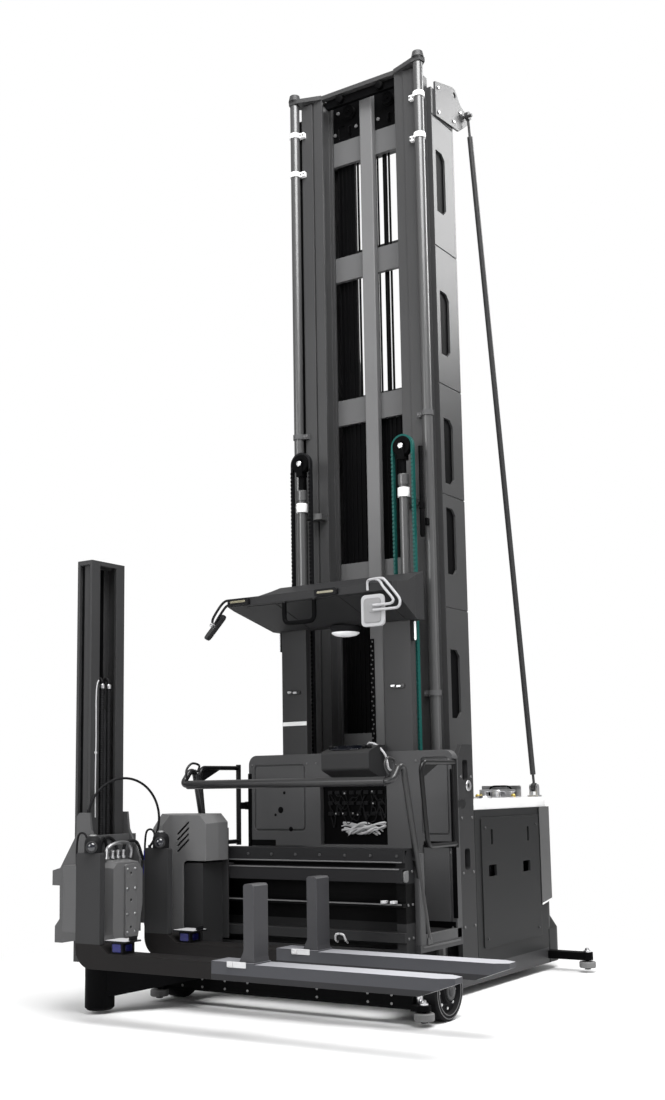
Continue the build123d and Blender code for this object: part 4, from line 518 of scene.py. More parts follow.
BAR_FRONT = lowest("front_bumper")[1]
POST_FRONT = lowest("cab_posts")[1]
WALL_FRONT = lowest("back_wall")[1]
DECK_SIDE, _, DECK_TOP = highest("platform_deck")
HOUSING_FACE = highest("head_housing")[0]
ARMS_BACK = lowest("fork_arms")[0]
AUX_LOW, AUX_HIGH = lowest("aux_mast"), highest("aux_mast")
COVER_FRONT = lowest("traverse_cover")[1]
BEAM_FRONT = lowest("traverse_frame")[1]
BEAM_END, _, BEAM_TOP = highest("traverse_frame")
SUPPORT_SIDE = highest("mast_supports")[0]
LADDER_BACK = highest("mast_ladder")[1]
PANEL_SIDE = highest("side_panels")[0]
TRIM_TOP = highest("corner_trims")[2]
LID_TOP = highest("top_cover")[2]
RAIL_TOP = 5.95
HEAD_Y = 1.235
PIVOT_X = -0.94
PIVOT_Y = (AUX_LOW[1] + AUX_HIGH[1]) / 2
FORK_TOP = 0.385
FORK_Y = (PIVOT_Y - 0.2825, PIVOT_Y + 0.2825)
SHANK_Y = (PIVOT_Y - 0.335, PIVOT_Y + 0.23)
SHEAVE_X, SHEAVE_Y, SHEAVE_Z, SHEAVE_R = 0.39, 0.628, 3.385, 0.065
CHAIN_GAP = 0.0068
WHEEL_Z = 0.155
WHEEL_BOLT_R = 0.088
ROLLER_X = 0.906
TURRET_BASE = 0.327
CONSOLE_SLOPE = (0, -0.29, 0.957)


def paired(x, y, z):
    """The same place on the right and on the left."""
    return [(s * x, y, z) for s in SIDES]


def fitted(name, shape, centres, normals, finish, body):
    """Copies of one shape, set on their places as one piece."""
    return piece(name, scattered(shape, centres, normals), finish, body)


def bolt(radius, height):
    """Round-edged hexagon head standing on z = 0."""
    return turned([(radius, 0), (radius, height * 0.7), (radius * 0.82, height)], sides=6)


def fixed_bolts(name, radius, body, finish, rows):
    """One set of bolt heads: rows of (x, y, z, normal)."""
    centres = [row[:3] for row in rows]
    normals = [row[3] for row in rows]
    fitted(name, bolt(radius, radius * 0.7), centres, normals, finish, body)


def add_bolts():
    """Bolt heads wherever plates are screwed on."""
    fixed_bolts("bumper_bolts", 0.0075, "chassis", roller_grey, [
        (x, BAR_FRONT, z, FRONT)
        for x in (-0.717, -0.568, -0.402, -0.239, 0.239, 0.568, 0.717) for z in (0.105, 0.15)])
    fixed_bolts("support_bolts", 0.009, "chassis", light_grey, [
        (s * SUPPORT_SIDE, y, z, (s, 0, 0))
        for s in SIDES for y in (0.8, 0.935) for z in (0.4, 0.72, 1.05, 1.3)])
    fixed_bolts("clamp_bolts", 0.007, "chassis", light_grey, [
        (s * (0.444 + dx), 0.762, RAIL_TOP * share + 0.017, FRONT)
        for s in SIDES for share in (0.973, 0.924, 0.605, 0.303) for dx in (-0.011, 0.011)])
    fixed_bolts("mast_head_bolts", 0.012, "chassis", steel, [
        (s * 0.514, HEAD_Y + y, RAIL_TOP + z, (s, 0, 0))
        for s in SIDES for y, z in ((-0.22, -0.16), (-0.22, 0.02), (0.0, -0.13), (0.1, -0.02))])
    fixed_bolts("crosshead_bolts", 0.014, "inner_mast", light_grey, [
        (x, 0.95, z, FRONT) for x, z in ((-0.252, 5.988), (-0.104, 5.851), (0.077, 5.847), (0.26, 5.96),
                                          (-0.28, 5.83), (0.28, 5.83))])
    fixed_bolts("ladder_bolts", 0.012, "inner_mast", charcoal, [
        (s * 0.315, LADDER_BACK, z, BACK) for s in SIDES for z in (5.684, 4.826, 3.793, 2.652, 1.51, 0.393)])
    fixed_bolts("wall_bolts", 0.007, "platform", light_grey, [
        (x, WALL_FRONT, z, FRONT)
        for x in (-0.72, -0.29, -0.22, 0.34, 0.5, 0.72) for z in (0.43, 0.86, 1.4)])
    fixed_bolts("beam_bolts", 0.009, "platform", charcoal, [
        (x, BEAM_FRONT + 0.03, 0.867, FRONT) for x in np.linspace(-0.68, 0.68, 9)])
    fixed_bolts("traverse_end_bolts", 0.008, "platform", light_grey, [
        (s * BEAM_END, y, z, (s, 0, 0)) for s in SIDES for y in (-0.02, 0.03) for z in (0.42, 0.6, 0.78)])
    fixed_bolts("housing_bolts", 0.007, "fork_carriage", steel, [
        (HOUSING_FACE, PIVOT_Y + 0.008 + y, z, (1, 0, 0))
        for y in (-0.032, 0.032) for z in (0.46, 0.56, 0.7, 0.81)])
    fixed_bolts("cheek_bolts", 0.01, "fork_carriage", steel, [
        (PIVOT_X + dx, PIVOT_Y - 0.15, FORK_TOP + dz, FRONT)
        for dx, dz in ((-0.19, 0.375), (-0.17, 0.06), (0.13, 0.12), (0.13, 0.43), (0.02, 0.7), (-0.1, 0.3))])
    fixed_bolts("cover_bolts", 0.011, "traverse", steel, [
        (x, COVER_FRONT, z, FRONT) for x, z in ((-0.742, 0.819), (-0.8, 0.45))])
    fixed_bolts("panel_bolts", 0.009, "chassis", charcoal, [
        (s * 0.647, y, z, (s, 0, 0)) for s in SIDES for y in (1.1, 1.86) for z in (0.3, 0.98)])
    for s, side in zip(SIDES, SIDE_NAMES):
        fixed_bolts("wheel_bolts_" + side, 0.009, "load_wheel_" + side, steel, [
            (s * 0.934, WHEEL_BOLT_R * math.cos(a), WHEEL_Z + WHEEL_BOLT_R * math.sin(a), (s, 0, 0))
            for a in np.arange(8) * math.pi / 4])


def add_chain_links():
    """Ribs along the chains, one plate at each link on the face that looks forwards, and the strip with its
    pins on the centre post."""
    pitch = 0.026
    plate = slab(0.015, 0.017, 0.004, corner=0.003, edge=0.001)
    runs = ((SHEAVE_X - SHEAVE_R - CHAIN_GAP, 1.23, 82), (SHEAVE_X + SHEAVE_R + CHAIN_GAP, 0.65, 104))
    for s, side, finish in zip(SIDES, SIDE_NAMES, (teal_hose, black)):
        rows = [np.stack([np.full(n, s * x), np.full(n, SHEAVE_Y - 0.015), low + pitch * np.arange(n)], -1)
                for x, low, n in runs]
        places = np.concatenate(rows)
        fitted("chain_links_" + side, plate, places, FRONT, finish, "sheave_heads")
    strip = slab(0.03, 0.7, 0.008)
    fitted("post_chain_strip", strip, [(-0.031, 0.9, 1.86)], FRONT, black, "inner_mast")
    count = np.arange(23)
    places = np.stack([np.where(count % 2, -0.036, -0.026), np.full(23, 0.892), 1.53 + 0.03 * count], -1)
    pin = turned([(0.006, 0), (0.006, 0.003), (0.004, 0.005)], 8)
    fitted("post_chain_pins", pin, places, FRONT, light_grey, "inner_mast")


def add_mast_trim():
    """White collars on the chain cylinders, sheave hubs and faces, the crosshead's bar and rollers, black
    sheets in the mast windows as painted shade with fins along the rails, and the ribbed guide beside the
    right sheave."""
    ring = ringed([(0.0305, -0.03), (0.0385, -0.03), (0.0395, -0.027), (0.0395, 0.027), (0.0385, 0.03),
                   (0.0305, 0.03)])
    spots = paired(SHEAVE_X, SHEAVE_Y, 3.085)
    fitted("cylinder_collars", ring, spots, UP, white, "inner_mast")
    hub = turned([(0.019, 0), (0.019, 0.004), (0.015, 0.009), (0.006, 0.01)], 20)
    spots = paired(SHEAVE_X, SHEAVE_Y - 0.032, SHEAVE_Z)
    fitted("sheave_hubs", hub, spots, FRONT, steel, "sheave_heads")
    rim = ringed([(0.03, 0), (0.06, 0), (0.062, 0.002), (0.06, 0.004), (0.034, 0.004), (0.03, 0.003)], 32)
    spots = paired(SHEAVE_X, SHEAVE_Y - 0.0205, SHEAVE_Z)
    fitted("sheave_faces", rim, spots, FRONT, black, "sheave_heads")
    bar = scattered(slab(0.56, 0.06, 0.03, corner=0.008), [(0, 0.86, 6.005)], FRONT)
    roller = turned([(0.026, 0), (0.028, 0.003), (0.028, 0.03), (0.022, 0.034)], 24)
    rollers = scattered(roller, [(-0.15, 0.83, 6.005), (0.17, 0.83, 6.005)], FRONT)
    filling = slab(0.058, 0.088, 0.004, corner=0.015)
    slots = scattered(filling, [(-0.225, 0.96, 5.842), (0.235, 0.96, 5.842)], FRONT)
    piece("crosshead_bar", joined(bar, rollers, slots), black, "inner_mast")
    # Black sheets in the side plates' windows: painted shade inside the mast channel.
    liner = slab(0.135, 0.448, 0.003, corner=0.004, edge=0.001)
    shares = (0.89, 0.722, 0.575, 0.474, 0.318)
    windows = [(s * 0.4815, 1.048, RAIL_TOP * share) for s in SIDES for share in shares]
    liners = scattered(liner, windows, np.repeat(OUTWARD, len(shares), axis=0))
    fin = slab(0.044, RAIL_TOP - 0.6, 0.004, corner=0.002, edge=0.001)
    fins = scattered(fin, paired(0.48, 0.799, RAIL_TOP / 2 + 0.28), FRONT)
    piece("mast_window_shade_and_fins", joined(liners, fins), black, "chassis")
    ribbed = turned(np.stack([0.013 + 0.003 * (np.arange(73) % 2), np.linspace(0, 0.36, 73)], -1), 12)
    fitting = turned([(0.01, -0.225), (0.017, -0.215), (0.017, -0.06), (0.014, -0.05), (0.018, -0.045),
                      (0.018, 0.0), (0.012, 0.004)], 16)
    foot = [(0.497, 0.667, 3.02)]
    bracket = scattered(slab(0.03, 0.045, 0.05), [(0.497, 0.7, 2.9)], BACK)
    guide = joined(scattered(ribbed, foot, UP), scattered(fitting, foot, UP), bracket)
    piece("hose_guide_right", guide, black, "chassis")


def add_cab_trim():
    """Lamp lenses, the liners under the canopy, latches with their levers and the stripe on a post."""
    front_lens = slab(0.118, 0.014, 0.004, corner=0.006)
    spots = [(x, 0.0665, 2.408) for x in (-0.505, 0.15)]
    fitted("front_lamp_lenses", front_lens, spots, FRONT, warm_lamp, "platform")
    slope = np.array([0.0, 0.36, -0.118])
    run = float(np.linalg.norm(slope))
    liners = []
    for x0, x1 in ((-0.47, -0.24), (-0.225, 0.225), (0.24, 0.47)):
        middle = np.array([(x0 + x1) / 2, 0.11, 2.379]) + slope / 2
        liner = slab(x1 - x0 - 0.004, run, 0.004, corner=0.004, edge=0.001)
        liners.append(set_down(liner, middle, (1, 0, 0), (0, slope[2] / run, -slope[1] / run)))
    piece("canopy_liners", joined(*liners), canopy_paint, "platform")
    dome = turned([(0.012, -0.025), (0.045, -0.023), (0.07, -0.017), (0.086, -0.008), (0.09, 0)], 40)
    fitted("dome_lens", dome, [(0, 0.525, 2.214)], UP, white_lamp, "platform")
    slim = slab(0.014, 0.118, 0.012, corner=0.006, edge=0.004)
    spots = paired(0.498, 0.524, 2.189)
    fitted("side_lamp_lenses", slim, spots, OUTWARD, white_lamp, "platform")
    latch, lever = slab(0.1, 0.03, 0.008, corner=0.014), slab(0.03, 0.014, 0.01, corner=0.006)
    spots = paired(0.385, POST_FRONT, 1.855)
    fitted("post_latches", latch, spots, FRONT, gate_black, "platform")
    shifts = ((-0.03, 0.002), (0.012, -0.002))
    levers = [(x + dx, y - 0.008, z + dz) for x, y, z in spots for dx, dz in shifts]
    fitted("post_latch_levers", lever, levers, FRONT, steel, "platform")
    stripe = slab(0.186, 0.026, 0.002, corner=0.002, edge=0.0006)
    fitted("post_stripe", stripe, [(-0.385, POST_FRONT, 1.655)], FRONT, white, "platform")


def add_floor_mat():
    """The ribbed mat on the deck: every fourth row of a grid stands higher; a skirt and a flat underside."""
    rows, cols = 141, 41
    u, v = np.meshgrid(np.linspace(-0.7, 0.7, rows), np.linspace(0.085, 0.485, cols), indexing="ij")
    rise = DECK_TOP + 0.004 + 0.0022 * (np.abs((np.arange(rows) % 4) - 2) < 1)[:, None] + 0 * v
    rim = np.stack([u, v, rise], -1).reshape(-1, 3)
    foot = np.stack([u, v, np.full_like(u, DECK_TOP)], -1).reshape(-1, 3)
    edge = np.concatenate([np.arange(cols), np.arange(1, rows) * cols + cols - 1,
                           (rows - 1) * cols + np.arange(cols - 2, -1, -1),
                           np.arange(rows - 2, 0, -1) * cols])
    skirt = np.stack([edge, np.roll(edge, -1), np.roll(edge, -1) + rows * cols, edge + rows * cols], -1)
    top = grid_faces(rows, cols)[:, ::-1]
    shape = np.concatenate([rim, foot]), [top, skirt, top[:, ::-1] + rows * cols]
    piece("floor_mat", shape, mat_rubber, "platform", smooth=False)


def add_console():
    """The console's screen, its knobs and the lead that arches down behind it."""
    screen = slab(0.2, 0.08, 0.006, corner=0.01)
    spots = [(0.1, 0.365, 1.483)]
    fitted("console_screen", screen, spots, CONSOLE_SLOPE, lens_dark, "platform")
    knob = turned([(0.014, 0), (0.016, 0.004), (0.015, 0.018), (0.01, 0.022)], 16)
    spots = [(x, 0.37, 1.48) for x in (-0.02, 0.22, 0.255)]
    fitted("console_knobs", knob, spots, CONSOLE_SLOPE, black_plastic, "platform")
    arch = smooth_route([(0.19, 0.47, 1.46), (0.2, 0.45, 1.51), (0.26, 0.44, 1.5), (0.315, 0.45, 1.44),
                         (0.325, 0.47, 1.36), (0.325, 0.497, 1.345)])
    piece("console_lead", tube(arch, 0.007), pale_cable, "platform")


def add_mirrors():
    """Mirror shells, their glass and the paired rods that hold them, in place of the plain mirrors, and the
    grip under the canopy."""
    right_at, left_at = np.array([0.48, 0.081, 2.267]), np.array([-0.694, 0.08, 2.262])
    looks = np.array([0.493, 0.657, -0.569])
    across = (-0.711, 0.681, 0.17)
    shell = slab(0.15, 0.19, 0.024, corner=0.028, edge=0.005)
    left = set_down(shell, left_at - 0.012 * looks, across, looks)
    right = scattered(slab(0.16, 0.188, 0.014, corner=0.028, edge=0.003), [right_at], FRONT)
    shells = piece("mirror_shells", joined(left, right), mirror_paint, "platform")
    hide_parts("mirrors")
    glass = scattered(slab(0.138, 0.166, 0.003, corner=0.022), [right_at], BACK)
    piece("mirror_face_right", glass, mirror_glass, "platform")
    glass = set_down(slab(0.128, 0.168, 0.003, corner=0.022), left_at + 0.012 * looks, across, looks)
    piece("mirror_face_left", glass, mirror_glass, "platform")
    knob = turned([(0.014, 0), (0.016, 0.004), (0.014, 0.022), (0.008, 0.026)], 16)
    knob = set_down(knob, left_at - 0.012 * looks, across, -looks)
    piece("mirror_knob_left", knob, steel, "platform")
    routes = [[(0.44, 0.082, 2.39), (0.44, 0.082, 2.435), (0.455, 0.078, 2.451), (0.5, 0.068, 2.452),
               (0.545, 0.06, 2.45), (0.575, 0.058, 2.434), (0.648, 0.058, 2.347), (0.668, 0.058, 2.318),
               (0.67, 0.058, 2.29), (0.655, 0.058, 2.27), (0.62, 0.058, 2.267), (0.49, 0.058, 2.267)],
              [(0.5, 0.068, 2.452), (0.535, 0.061, 2.436), (0.56, 0.058, 2.4), (0.615, 0.058, 2.335),
               (0.626, 0.058, 2.312), (0.612, 0.058, 2.298), (0.58, 0.058, 2.295), (0.49, 0.058, 2.295)],
              [(-0.585, 0.1, 2.428), (-0.625, 0.096, 2.424), (-0.66, 0.09, 2.395), (-0.705, 0.08, 2.33),
               (-0.712, 0.074, 2.298), (-0.701, 0.07, 2.272)],
              [(-0.585, 0.1, 2.398), (-0.612, 0.096, 2.394), (-0.637, 0.09, 2.368), (-0.676, 0.08, 2.312),
               (-0.69, 0.074, 2.285), (-0.697, 0.072, 2.268)]]
    rods = [tube(smooth_route(route), 0.008) for route in routes]
    plate = scattered(slab(0.07, 0.05, 0.006, corner=0.01), [(0.492, 0.067, 2.281)], FRONT)
    bezel = scattered(slab(0.118, 0.146, 0.003, corner=0.02), [(0.48, 0.067, 2.267)], FRONT)
    piece("mirror_back_plate", joined(plate, bezel), mirror_back, "platform")
    piece("mirror_rods", joined(*rods), mirror_paint, "platform")
    bends = ((-0.17, 2.372), (-0.17, 2.29), (-0.164, 2.262), (-0.14, 2.247), (-0.06, 2.245),
             (0.02, 2.247), (0.044, 2.262), (0.05, 2.29), (0.05, 2.372))
    grip = smooth_route([(x, 0.098, z) for x, z in bends])
    piece("canopy_grip", tube(grip, 0.014), black, "platform")


def add_wiring():
    """The open wiring recess: a black plate over its rear face as painted shade, looms that sag between
    clips, connector blocks and fuses on its rear face.
    """
    back = WALL_FRONT + 0.04
    left, right, low, high = -0.185, 0.28, 0.905, 1.25
    # A black plate over the recess's rear face: painted shade in the recess.
    lining = slab(right - left + 0.016, high - low + 0.012, 0.004)
    middle = [((left + right) / 2, back, (low + high) / 2)]
    fitted("recess_shade_plate", lining, middle, FRONT, black, "platform")
    back -= 0.004
    rng = np.random.default_rng(11)
    t = np.linspace(0, 1, 40)
    looms = []
    for start, reach, drop, sag in rng.uniform((0.02, 0.06, 0.02, 0.04), (0.4, 0.22, 0.12, 0.2), (14, 4)):
        x = np.clip(left + start + reach * t, left + 0.01, right - 0.01)
        z = high - drop - sag * np.sin(np.pi * t) ** 1.3 + 0.012 * np.sin(17 * t + 40 * start)
        y = back - 0.008 - 0.014 * np.sin(np.pi * t) * (0.4 + start)
        route = np.stack([x, y, np.maximum(z, low + 0.015)], -1)
        looms.append(tube(route, 0.003 + 0.012 * drop * start, 6))
    piece("recess_looms", joined(*looms), black_plastic, "platform")
    pale = []
    for phase, lift, width in rng.uniform((0, -0.02, 0.003), (6.3, 0.026, 0.0075), (15, 3)):
        x = -0.06 + 0.012 * phase + (0.27 + 3.0 * lift) * t
        z = 0.988 + lift + 0.016 * np.sin((5 + phase) * t + phase) + 0.01 * np.sin(np.pi * t)
        y = back - 0.014 - 0.009 * np.cos((4 + phase) * t + phase)
        pale.append(tube(np.stack([np.minimum(x, right - 0.012), y, z], -1), width, 8))
    piece("pale_loom", joined(*pale), pale_cable, "platform")
    block = slab(0.034, 0.022, 0.012)
    across, down = np.meshgrid(np.linspace(left + 0.05, right - 0.05, 8), (1.215, 1.15, 1.085), indexing="ij")
    centres = np.stack([across.ravel(), np.full(across.size, back), down.ravel()], -1)
    fitted("recess_blocks", block, centres, FRONT, black_plastic, "platform")
    fuse = slab(0.007, 0.009, 0.006, corner=0.002, edge=0.001)
    picked = centres[rng.permutation(len(centres))[:7]]
    picked = picked + rng.uniform((-0.012, -0.012, -0.007), (0.012, -0.012, 0.007), (7, 3))
    fitted("recess_fuses", fuse, picked, FRONT, pale_cable, "platform")


def add_fork_head():
    """Cameras, scanner windows, leads and tabs at each fork, and the housing's fittings and small hoses."""
    lens = turned([(0.024, 0), (0.023, 0.006), (0.016, 0.012), (0.005, 0.014)], 24)
    ring = ringed([(0.024, 0), (0.031, 0), (0.032, 0.003), (0.03, 0.007), (0.024, 0.007)], 24)
    cap = turned([(0.02, 0), (0.02, 0.004), (0.013, 0.009), (0.005, 0.01)], 20)
    window, side = slab(0.05, 0.034, 0.003, corner=0.006), slab(0.06, 0.044, 0.003, corner=0.006)
    plate = slab(0.15, 0.12, 0.002, corner=0.006, edge=0.0006)
    face = np.array([0.55, -0.83, 0.0])
    body = "fork_carriage"
    for y, shank, title in zip(FORK_Y, SHANK_Y, ("near", "far")):
        place = np.array([-0.685, shank, 0.948]) + face * 0.0465
        fitted("camera_lens_" + title, lens, [place], face, lens_dark, body)
        fitted("camera_ring_" + title, ring, [place], face, deep_grey, body)
        fitted("camera_cap_" + title, cap, [(-0.685, shank, 1.006)], UP, steel, body)
        place = (-0.471, y, 0.415)
        fitted("scanner_window_" + title, window, [place], (1, 0, 0), lens_blue, body)
        place = (-0.511, y - 0.048, 0.415)
        fitted("scanner_side_" + title, side, [place], FRONT, lens_blue, body)
        loop = smooth_route([(-0.725, shank, 0.985), (-0.75, shank - 0.005, 1.02),
                             (-0.785, shank - 0.01, 1.01), (-0.798, shank - 0.01, 0.94),
                             (-0.798, shank - 0.008, 0.84), (-0.798, shank, 0.62)])
        piece("camera_lead_" + title, tube(loop, 0.006), black_plastic, body)
        fitted("scanner_plate_" + title, plate, [(-0.51, y, 0.453)], UP, pale_cable, body)
        tab = joined(scattered(slab(0.12, 0.03, 0.004), [(0.31, y - 0.0715, 0.38)], FRONT),
                     scattered(slab(0.03, 0.024, 0.014), [(0.275, y - 0.0715, 0.38)], FRONT))
        piece("sleeve_tab_" + title, tab, pale_cable, body)

    def over_pivot(rows):
        """A smooth route through points given as x, y from the pivot, and z."""
        return smooth_route([(x, PIVOT_Y + dy, z) for x, dy, z in rows])

    bracket = over_pivot([(-0.8, -0.11, 0.868), (-0.79, -0.105, 0.93), (-0.78, -0.04, 0.955),
                          (-0.78, 0.05, 0.95), (-0.79, 0.09, 0.91), (-0.8, 0.095, 0.868)])
    piece("housing_bracket", tube(bracket, 0.01), steel, body)
    nut = turned([(0.016, 0), (0.016, 0.012), (0.011, 0.014), (0.011, 0.034), (0.014, 0.036), (0.014, 0.046),
                  (0.006, 0.05)], 12)
    spots = [(-0.83, PIVOT_Y + dy, 0.865) for dy in (-0.07, -0.025, 0.02, 0.065)]
    fitted("housing_fittings", nut, spots, UP, steel, body)
    routes = [[(-0.83, -0.07, 0.905), (-0.83, -0.078, 0.955), (-0.81, -0.125, 0.985), (-0.79, -0.2, 0.93),
               (-0.8, -0.245, 0.85)],
              [(-0.83, 0.02, 0.905), (-0.85, 0.015, 0.96), (-0.86, -0.03, 0.985), (-0.84, -0.1, 0.96),
               (-0.82, -0.15, 0.9), (-0.81, -0.19, 0.85)],
              [(-0.83, 0.065, 0.905), (-0.82, 0.085, 0.955), (-0.8, 0.15, 0.95), (-0.8, 0.205, 0.85)]]
    hoses = [tube(over_pivot(rows), 0.009) for rows in routes]
    piece("housing_hoses", joined(*hoses), black_plastic, body)
    back, near = ARMS_BACK - 0.008, SHANK_Y[1] - 0.012
    lead = smooth_route([(back, near, 0.9), (back, near - 0.003, 0.78), (back, near + 0.002, 0.64),
                         (back, near - 0.002, 0.53), (back + 0.003, near + 0.004, 0.47)])
    piece("scanner_lead", tube(lead, 0.0045), blue_cable, body)


def add_turret_trim():
    """Rub strips along the turret's rails, its lining, two ribbed hoses with ferrules and a clipped lead."""
    low, high = TURRET_BASE, AUX_HIGH[2] - 0.028
    middle = (low + high) / 2
    strip = slab(0.018, high - low, 0.002, corner=0.002, edge=0.0006)
    rails = (AUX_LOW[0] + 0.029, AUX_HIGH[0] - 0.029)
    places = [(x, PIVOT_Y + s * 0.119, middle) for s in SIDES for x in rails]
    strips = scattered(strip, places, [(0, s, 0) for s in SIDES for _ in rails])
    lining = slab(0.134, high - low, 0.002, corner=0.002, edge=0.0006)
    lining = scattered(lining, [(AUX_LOW[0] + 0.012, PIVOT_Y, middle)], (1, 0, 0))
    piece("turret_strips", joined(strips, lining), black, "turret")
    rows = 301
    ribs = turned(np.stack([0.0115 + 0.0025 * (np.arange(rows) % 2), np.linspace(0.0, 1.5, rows)], -1), 14)
    front = AUX_HIGH[0] - 0.018
    lanes = [PIVOT_Y + s * 0.028 for s in SIDES]
    hoses = [scattered(ribs, [(front, y, 0.36)], UP) for y in lanes]
    bend = [(0.0, 0.0), (-0.002, 0.03), (-0.014, 0.048), (-0.03, 0.046), (-0.04, 0.026), (-0.042, -0.04)]
    hoses += [tube(smooth_route([(front + dx, y, 1.855 + dz) for dx, dz in bend]), 0.0095) for y in lanes]
    ferrule = ringed([(0.01, 0), (0.0155, 0), (0.0155, 0.022), (0.0125, 0.026), (0.01, 0.026)], 20)
    fitted("hose_ferrules", ferrule, [(front, y, 1.846) for y in lanes], UP, steel, "turret")
    piece("turret_hoses", joined(*hoses), black_plastic, "turret")
    x = AUX_HIGH[0] + 0.0038
    wave = ((-0.098, 1.1), (-0.1, 1.3), (-0.098, 1.55), (-0.1, 1.78), (-0.093, 1.86), (-0.08, 1.89))
    lead = tube(smooth_route([(x, PIVOT_Y + dy, z) for dy, z in wave]), 0.0036, 8)
    clip = slab(0.022, 0.012, 0.006, corner=0.003)
    clip = scattered(clip, [(AUX_HIGH[0], PIVOT_Y - 0.098, 1.47)], (1, 0, 0))
    piece("turret_lead", joined(lead, clip), pale_cable, "turret")


def add_wheel_trim():
    """Wheel rings, axle caps, nuts on the guide rollers' pins and steel fittings behind the bumper's ends."""
    rings = [ringed([(r, 0), (r + 0.004, 0), (r + 0.004, 0.002), (r, 0.002)], 48) for r in (0.12, 0.139)]
    rings = joined(*rings)
    cap = turned([(0.026, 0), (0.026, 0.004), (0.018, 0.01), (0.006, 0.011)], 24)
    for s, side in zip(SIDES, SIDE_NAMES):
        hub, out = [(s * 0.956, 0, WHEEL_Z)], (s, 0, 0)
        fitted("wheel_rings_" + side, rings, hub, out, light_grey, "load_wheel_" + side)
        fitted("axle_cap_" + side, cap, [(s * 0.966, 0, WHEEL_Z)], out, charcoal, "chassis")
    pin = turned([(0.024, 0), (0.024, 0.01), (0.016, 0.014), (0.012, 0.026), (0.006, 0.028)], 20)
    tops = paired(ROLLER_X, -0.2, 0.109) + paired(ROLLER_X, 2.04, 0.13)
    fitted("roller_pin_nuts", pin, tops, UP, steel, "chassis")
    can = turned([(0.02, 0), (0.022, 0.003), (0.022, 0.05), (0.017, 0.056), (0.006, 0.058)], 24)
    fitted("bumper_fitting", can, paired(0.862, -0.165, 0.109), UP, steel, "chassis")


def add_side_trim():
    """Edge strips, front posts and sills at the platform's sides, the loop at its deck, plates and clips at
    the traverse beam, and the rings on the mast supports."""
    strip = slab(0.44, 0.01, 0.003, corner=0.003, edge=0.001)
    spots = paired(DECK_SIDE, 0.31, 0.362)
    fitted("deck_edge_strips", strip, spots, OUTWARD, trim_grey, "platform")
    post = slab(0.036, 0.06, 0.5, corner=0.006, edge=0.002)
    fitted("side_posts", post, paired(0.732, 0.094, DECK_TOP), UP, wall_grey, "platform")
    sill = slab(0.026, 0.43, 0.056, corner=0.004, edge=0.002)
    fitted("side_sills", sill, paired(0.737, 0.339, DECK_TOP), UP, wall_grey, "platform")
    loop = smooth_route([(0.27, -0.04, 0.385), (0.27, -0.062, 0.4), (0.28, -0.07, 0.43),
                         (0.325, -0.07, 0.43), (0.337, -0.062, 0.4), (0.337, -0.04, 0.385)])
    piece("front_loop", tube(loop, 0.006), pale_cable, "platform")
    end = slab(0.05, 0.062, 0.01, corner=0.018)
    spots = paired(BEAM_END, -0.045, 0.755)
    fitted("beam_end_plates", end, spots, OUTWARD, light_grey, "platform")
    clip = slab(0.03, 0.04, 0.016, corner=0.004)
    spots = [(x, -0.07, 0.61) for x in (0.6, 0.66, -0.6)]
    fitted("shelf_clips", clip, spots, UP, pale_cable, "platform")
    ring = ringed([(0.018, 0), (0.032, 0), (0.034, 0.003), (0.032, 0.006), (0.018, 0.006)])
    fitted("support_rings", ring, paired(SUPPORT_SIDE, 0.9, 1.245), OUTWARD, steel, "chassis")


def add_wall_trim():
    """Pale strips along the traverse beam's edges as painted highlights, and dark plugs in the back wall."""
    base = BEAM_TOP - 0.571
    # Pale strips along the beam's edges: painted highlights.
    highlight_strip = slab(2 * BEAM_END - 0.02, 0.007, 0.003, corner=0.002, edge=0.0008)
    edges = [(0, BEAM_FRONT + dy, base + dz) for dy, dz in ((0.03, 0.499), (0.0, 0.463), (0.02, 0.271))]
    fitted("beam_edge_highlights", highlight_strip, edges, FRONT, light_grey, "platform")
    verts, faces = turned([(1.0, 0), (1.0, 0.05), (0.9, 0.06)], 24)
    spots = ((-0.499, 1.111, 0.02), (-0.421, 0.991, 0.015), (-0.47, 1.219, 0.01), (-0.54, 1.08, 0.009))
    plugs = [scattered((verts * r, faces), [(x, WALL_FRONT, z)], FRONT) for x, z, r in spots]
    piece("wall_plugs", joined(*plugs), black, "platform")


def add_rear_trim():
    """Trim plates at the rear corners and the pale edge that leans along the foot of each."""
    outline = [(1.925, 0.448), (2.085, 0.47), (2.085, TRIM_TOP), (1.925, TRIM_TOP)]
    outer = PANEL_SIDE + 0.003
    plates = []
    for s in SIDES:
        rings = [[(x, y, z) for y, z in outline[::int(s)]] for x in (s * PANEL_SIDE, s * outer)]
        plates.append(capped(np.array(rings)))
    piece("trim_plates", joined(*plates), trim_grey, "chassis", smooth=False)
    lean = np.array([0.0, 0.17, 0.026])
    lower = slab(float(np.linalg.norm(lean)), 0.012, 0.003, corner=0.003, edge=0.001)
    edges = [set_down(lower, (s * outer, 2.005, 0.459), lean, (s, 0, 0)) for s in SIDES]
    piece("trim_edges", joined(*edges), white, "chassis")


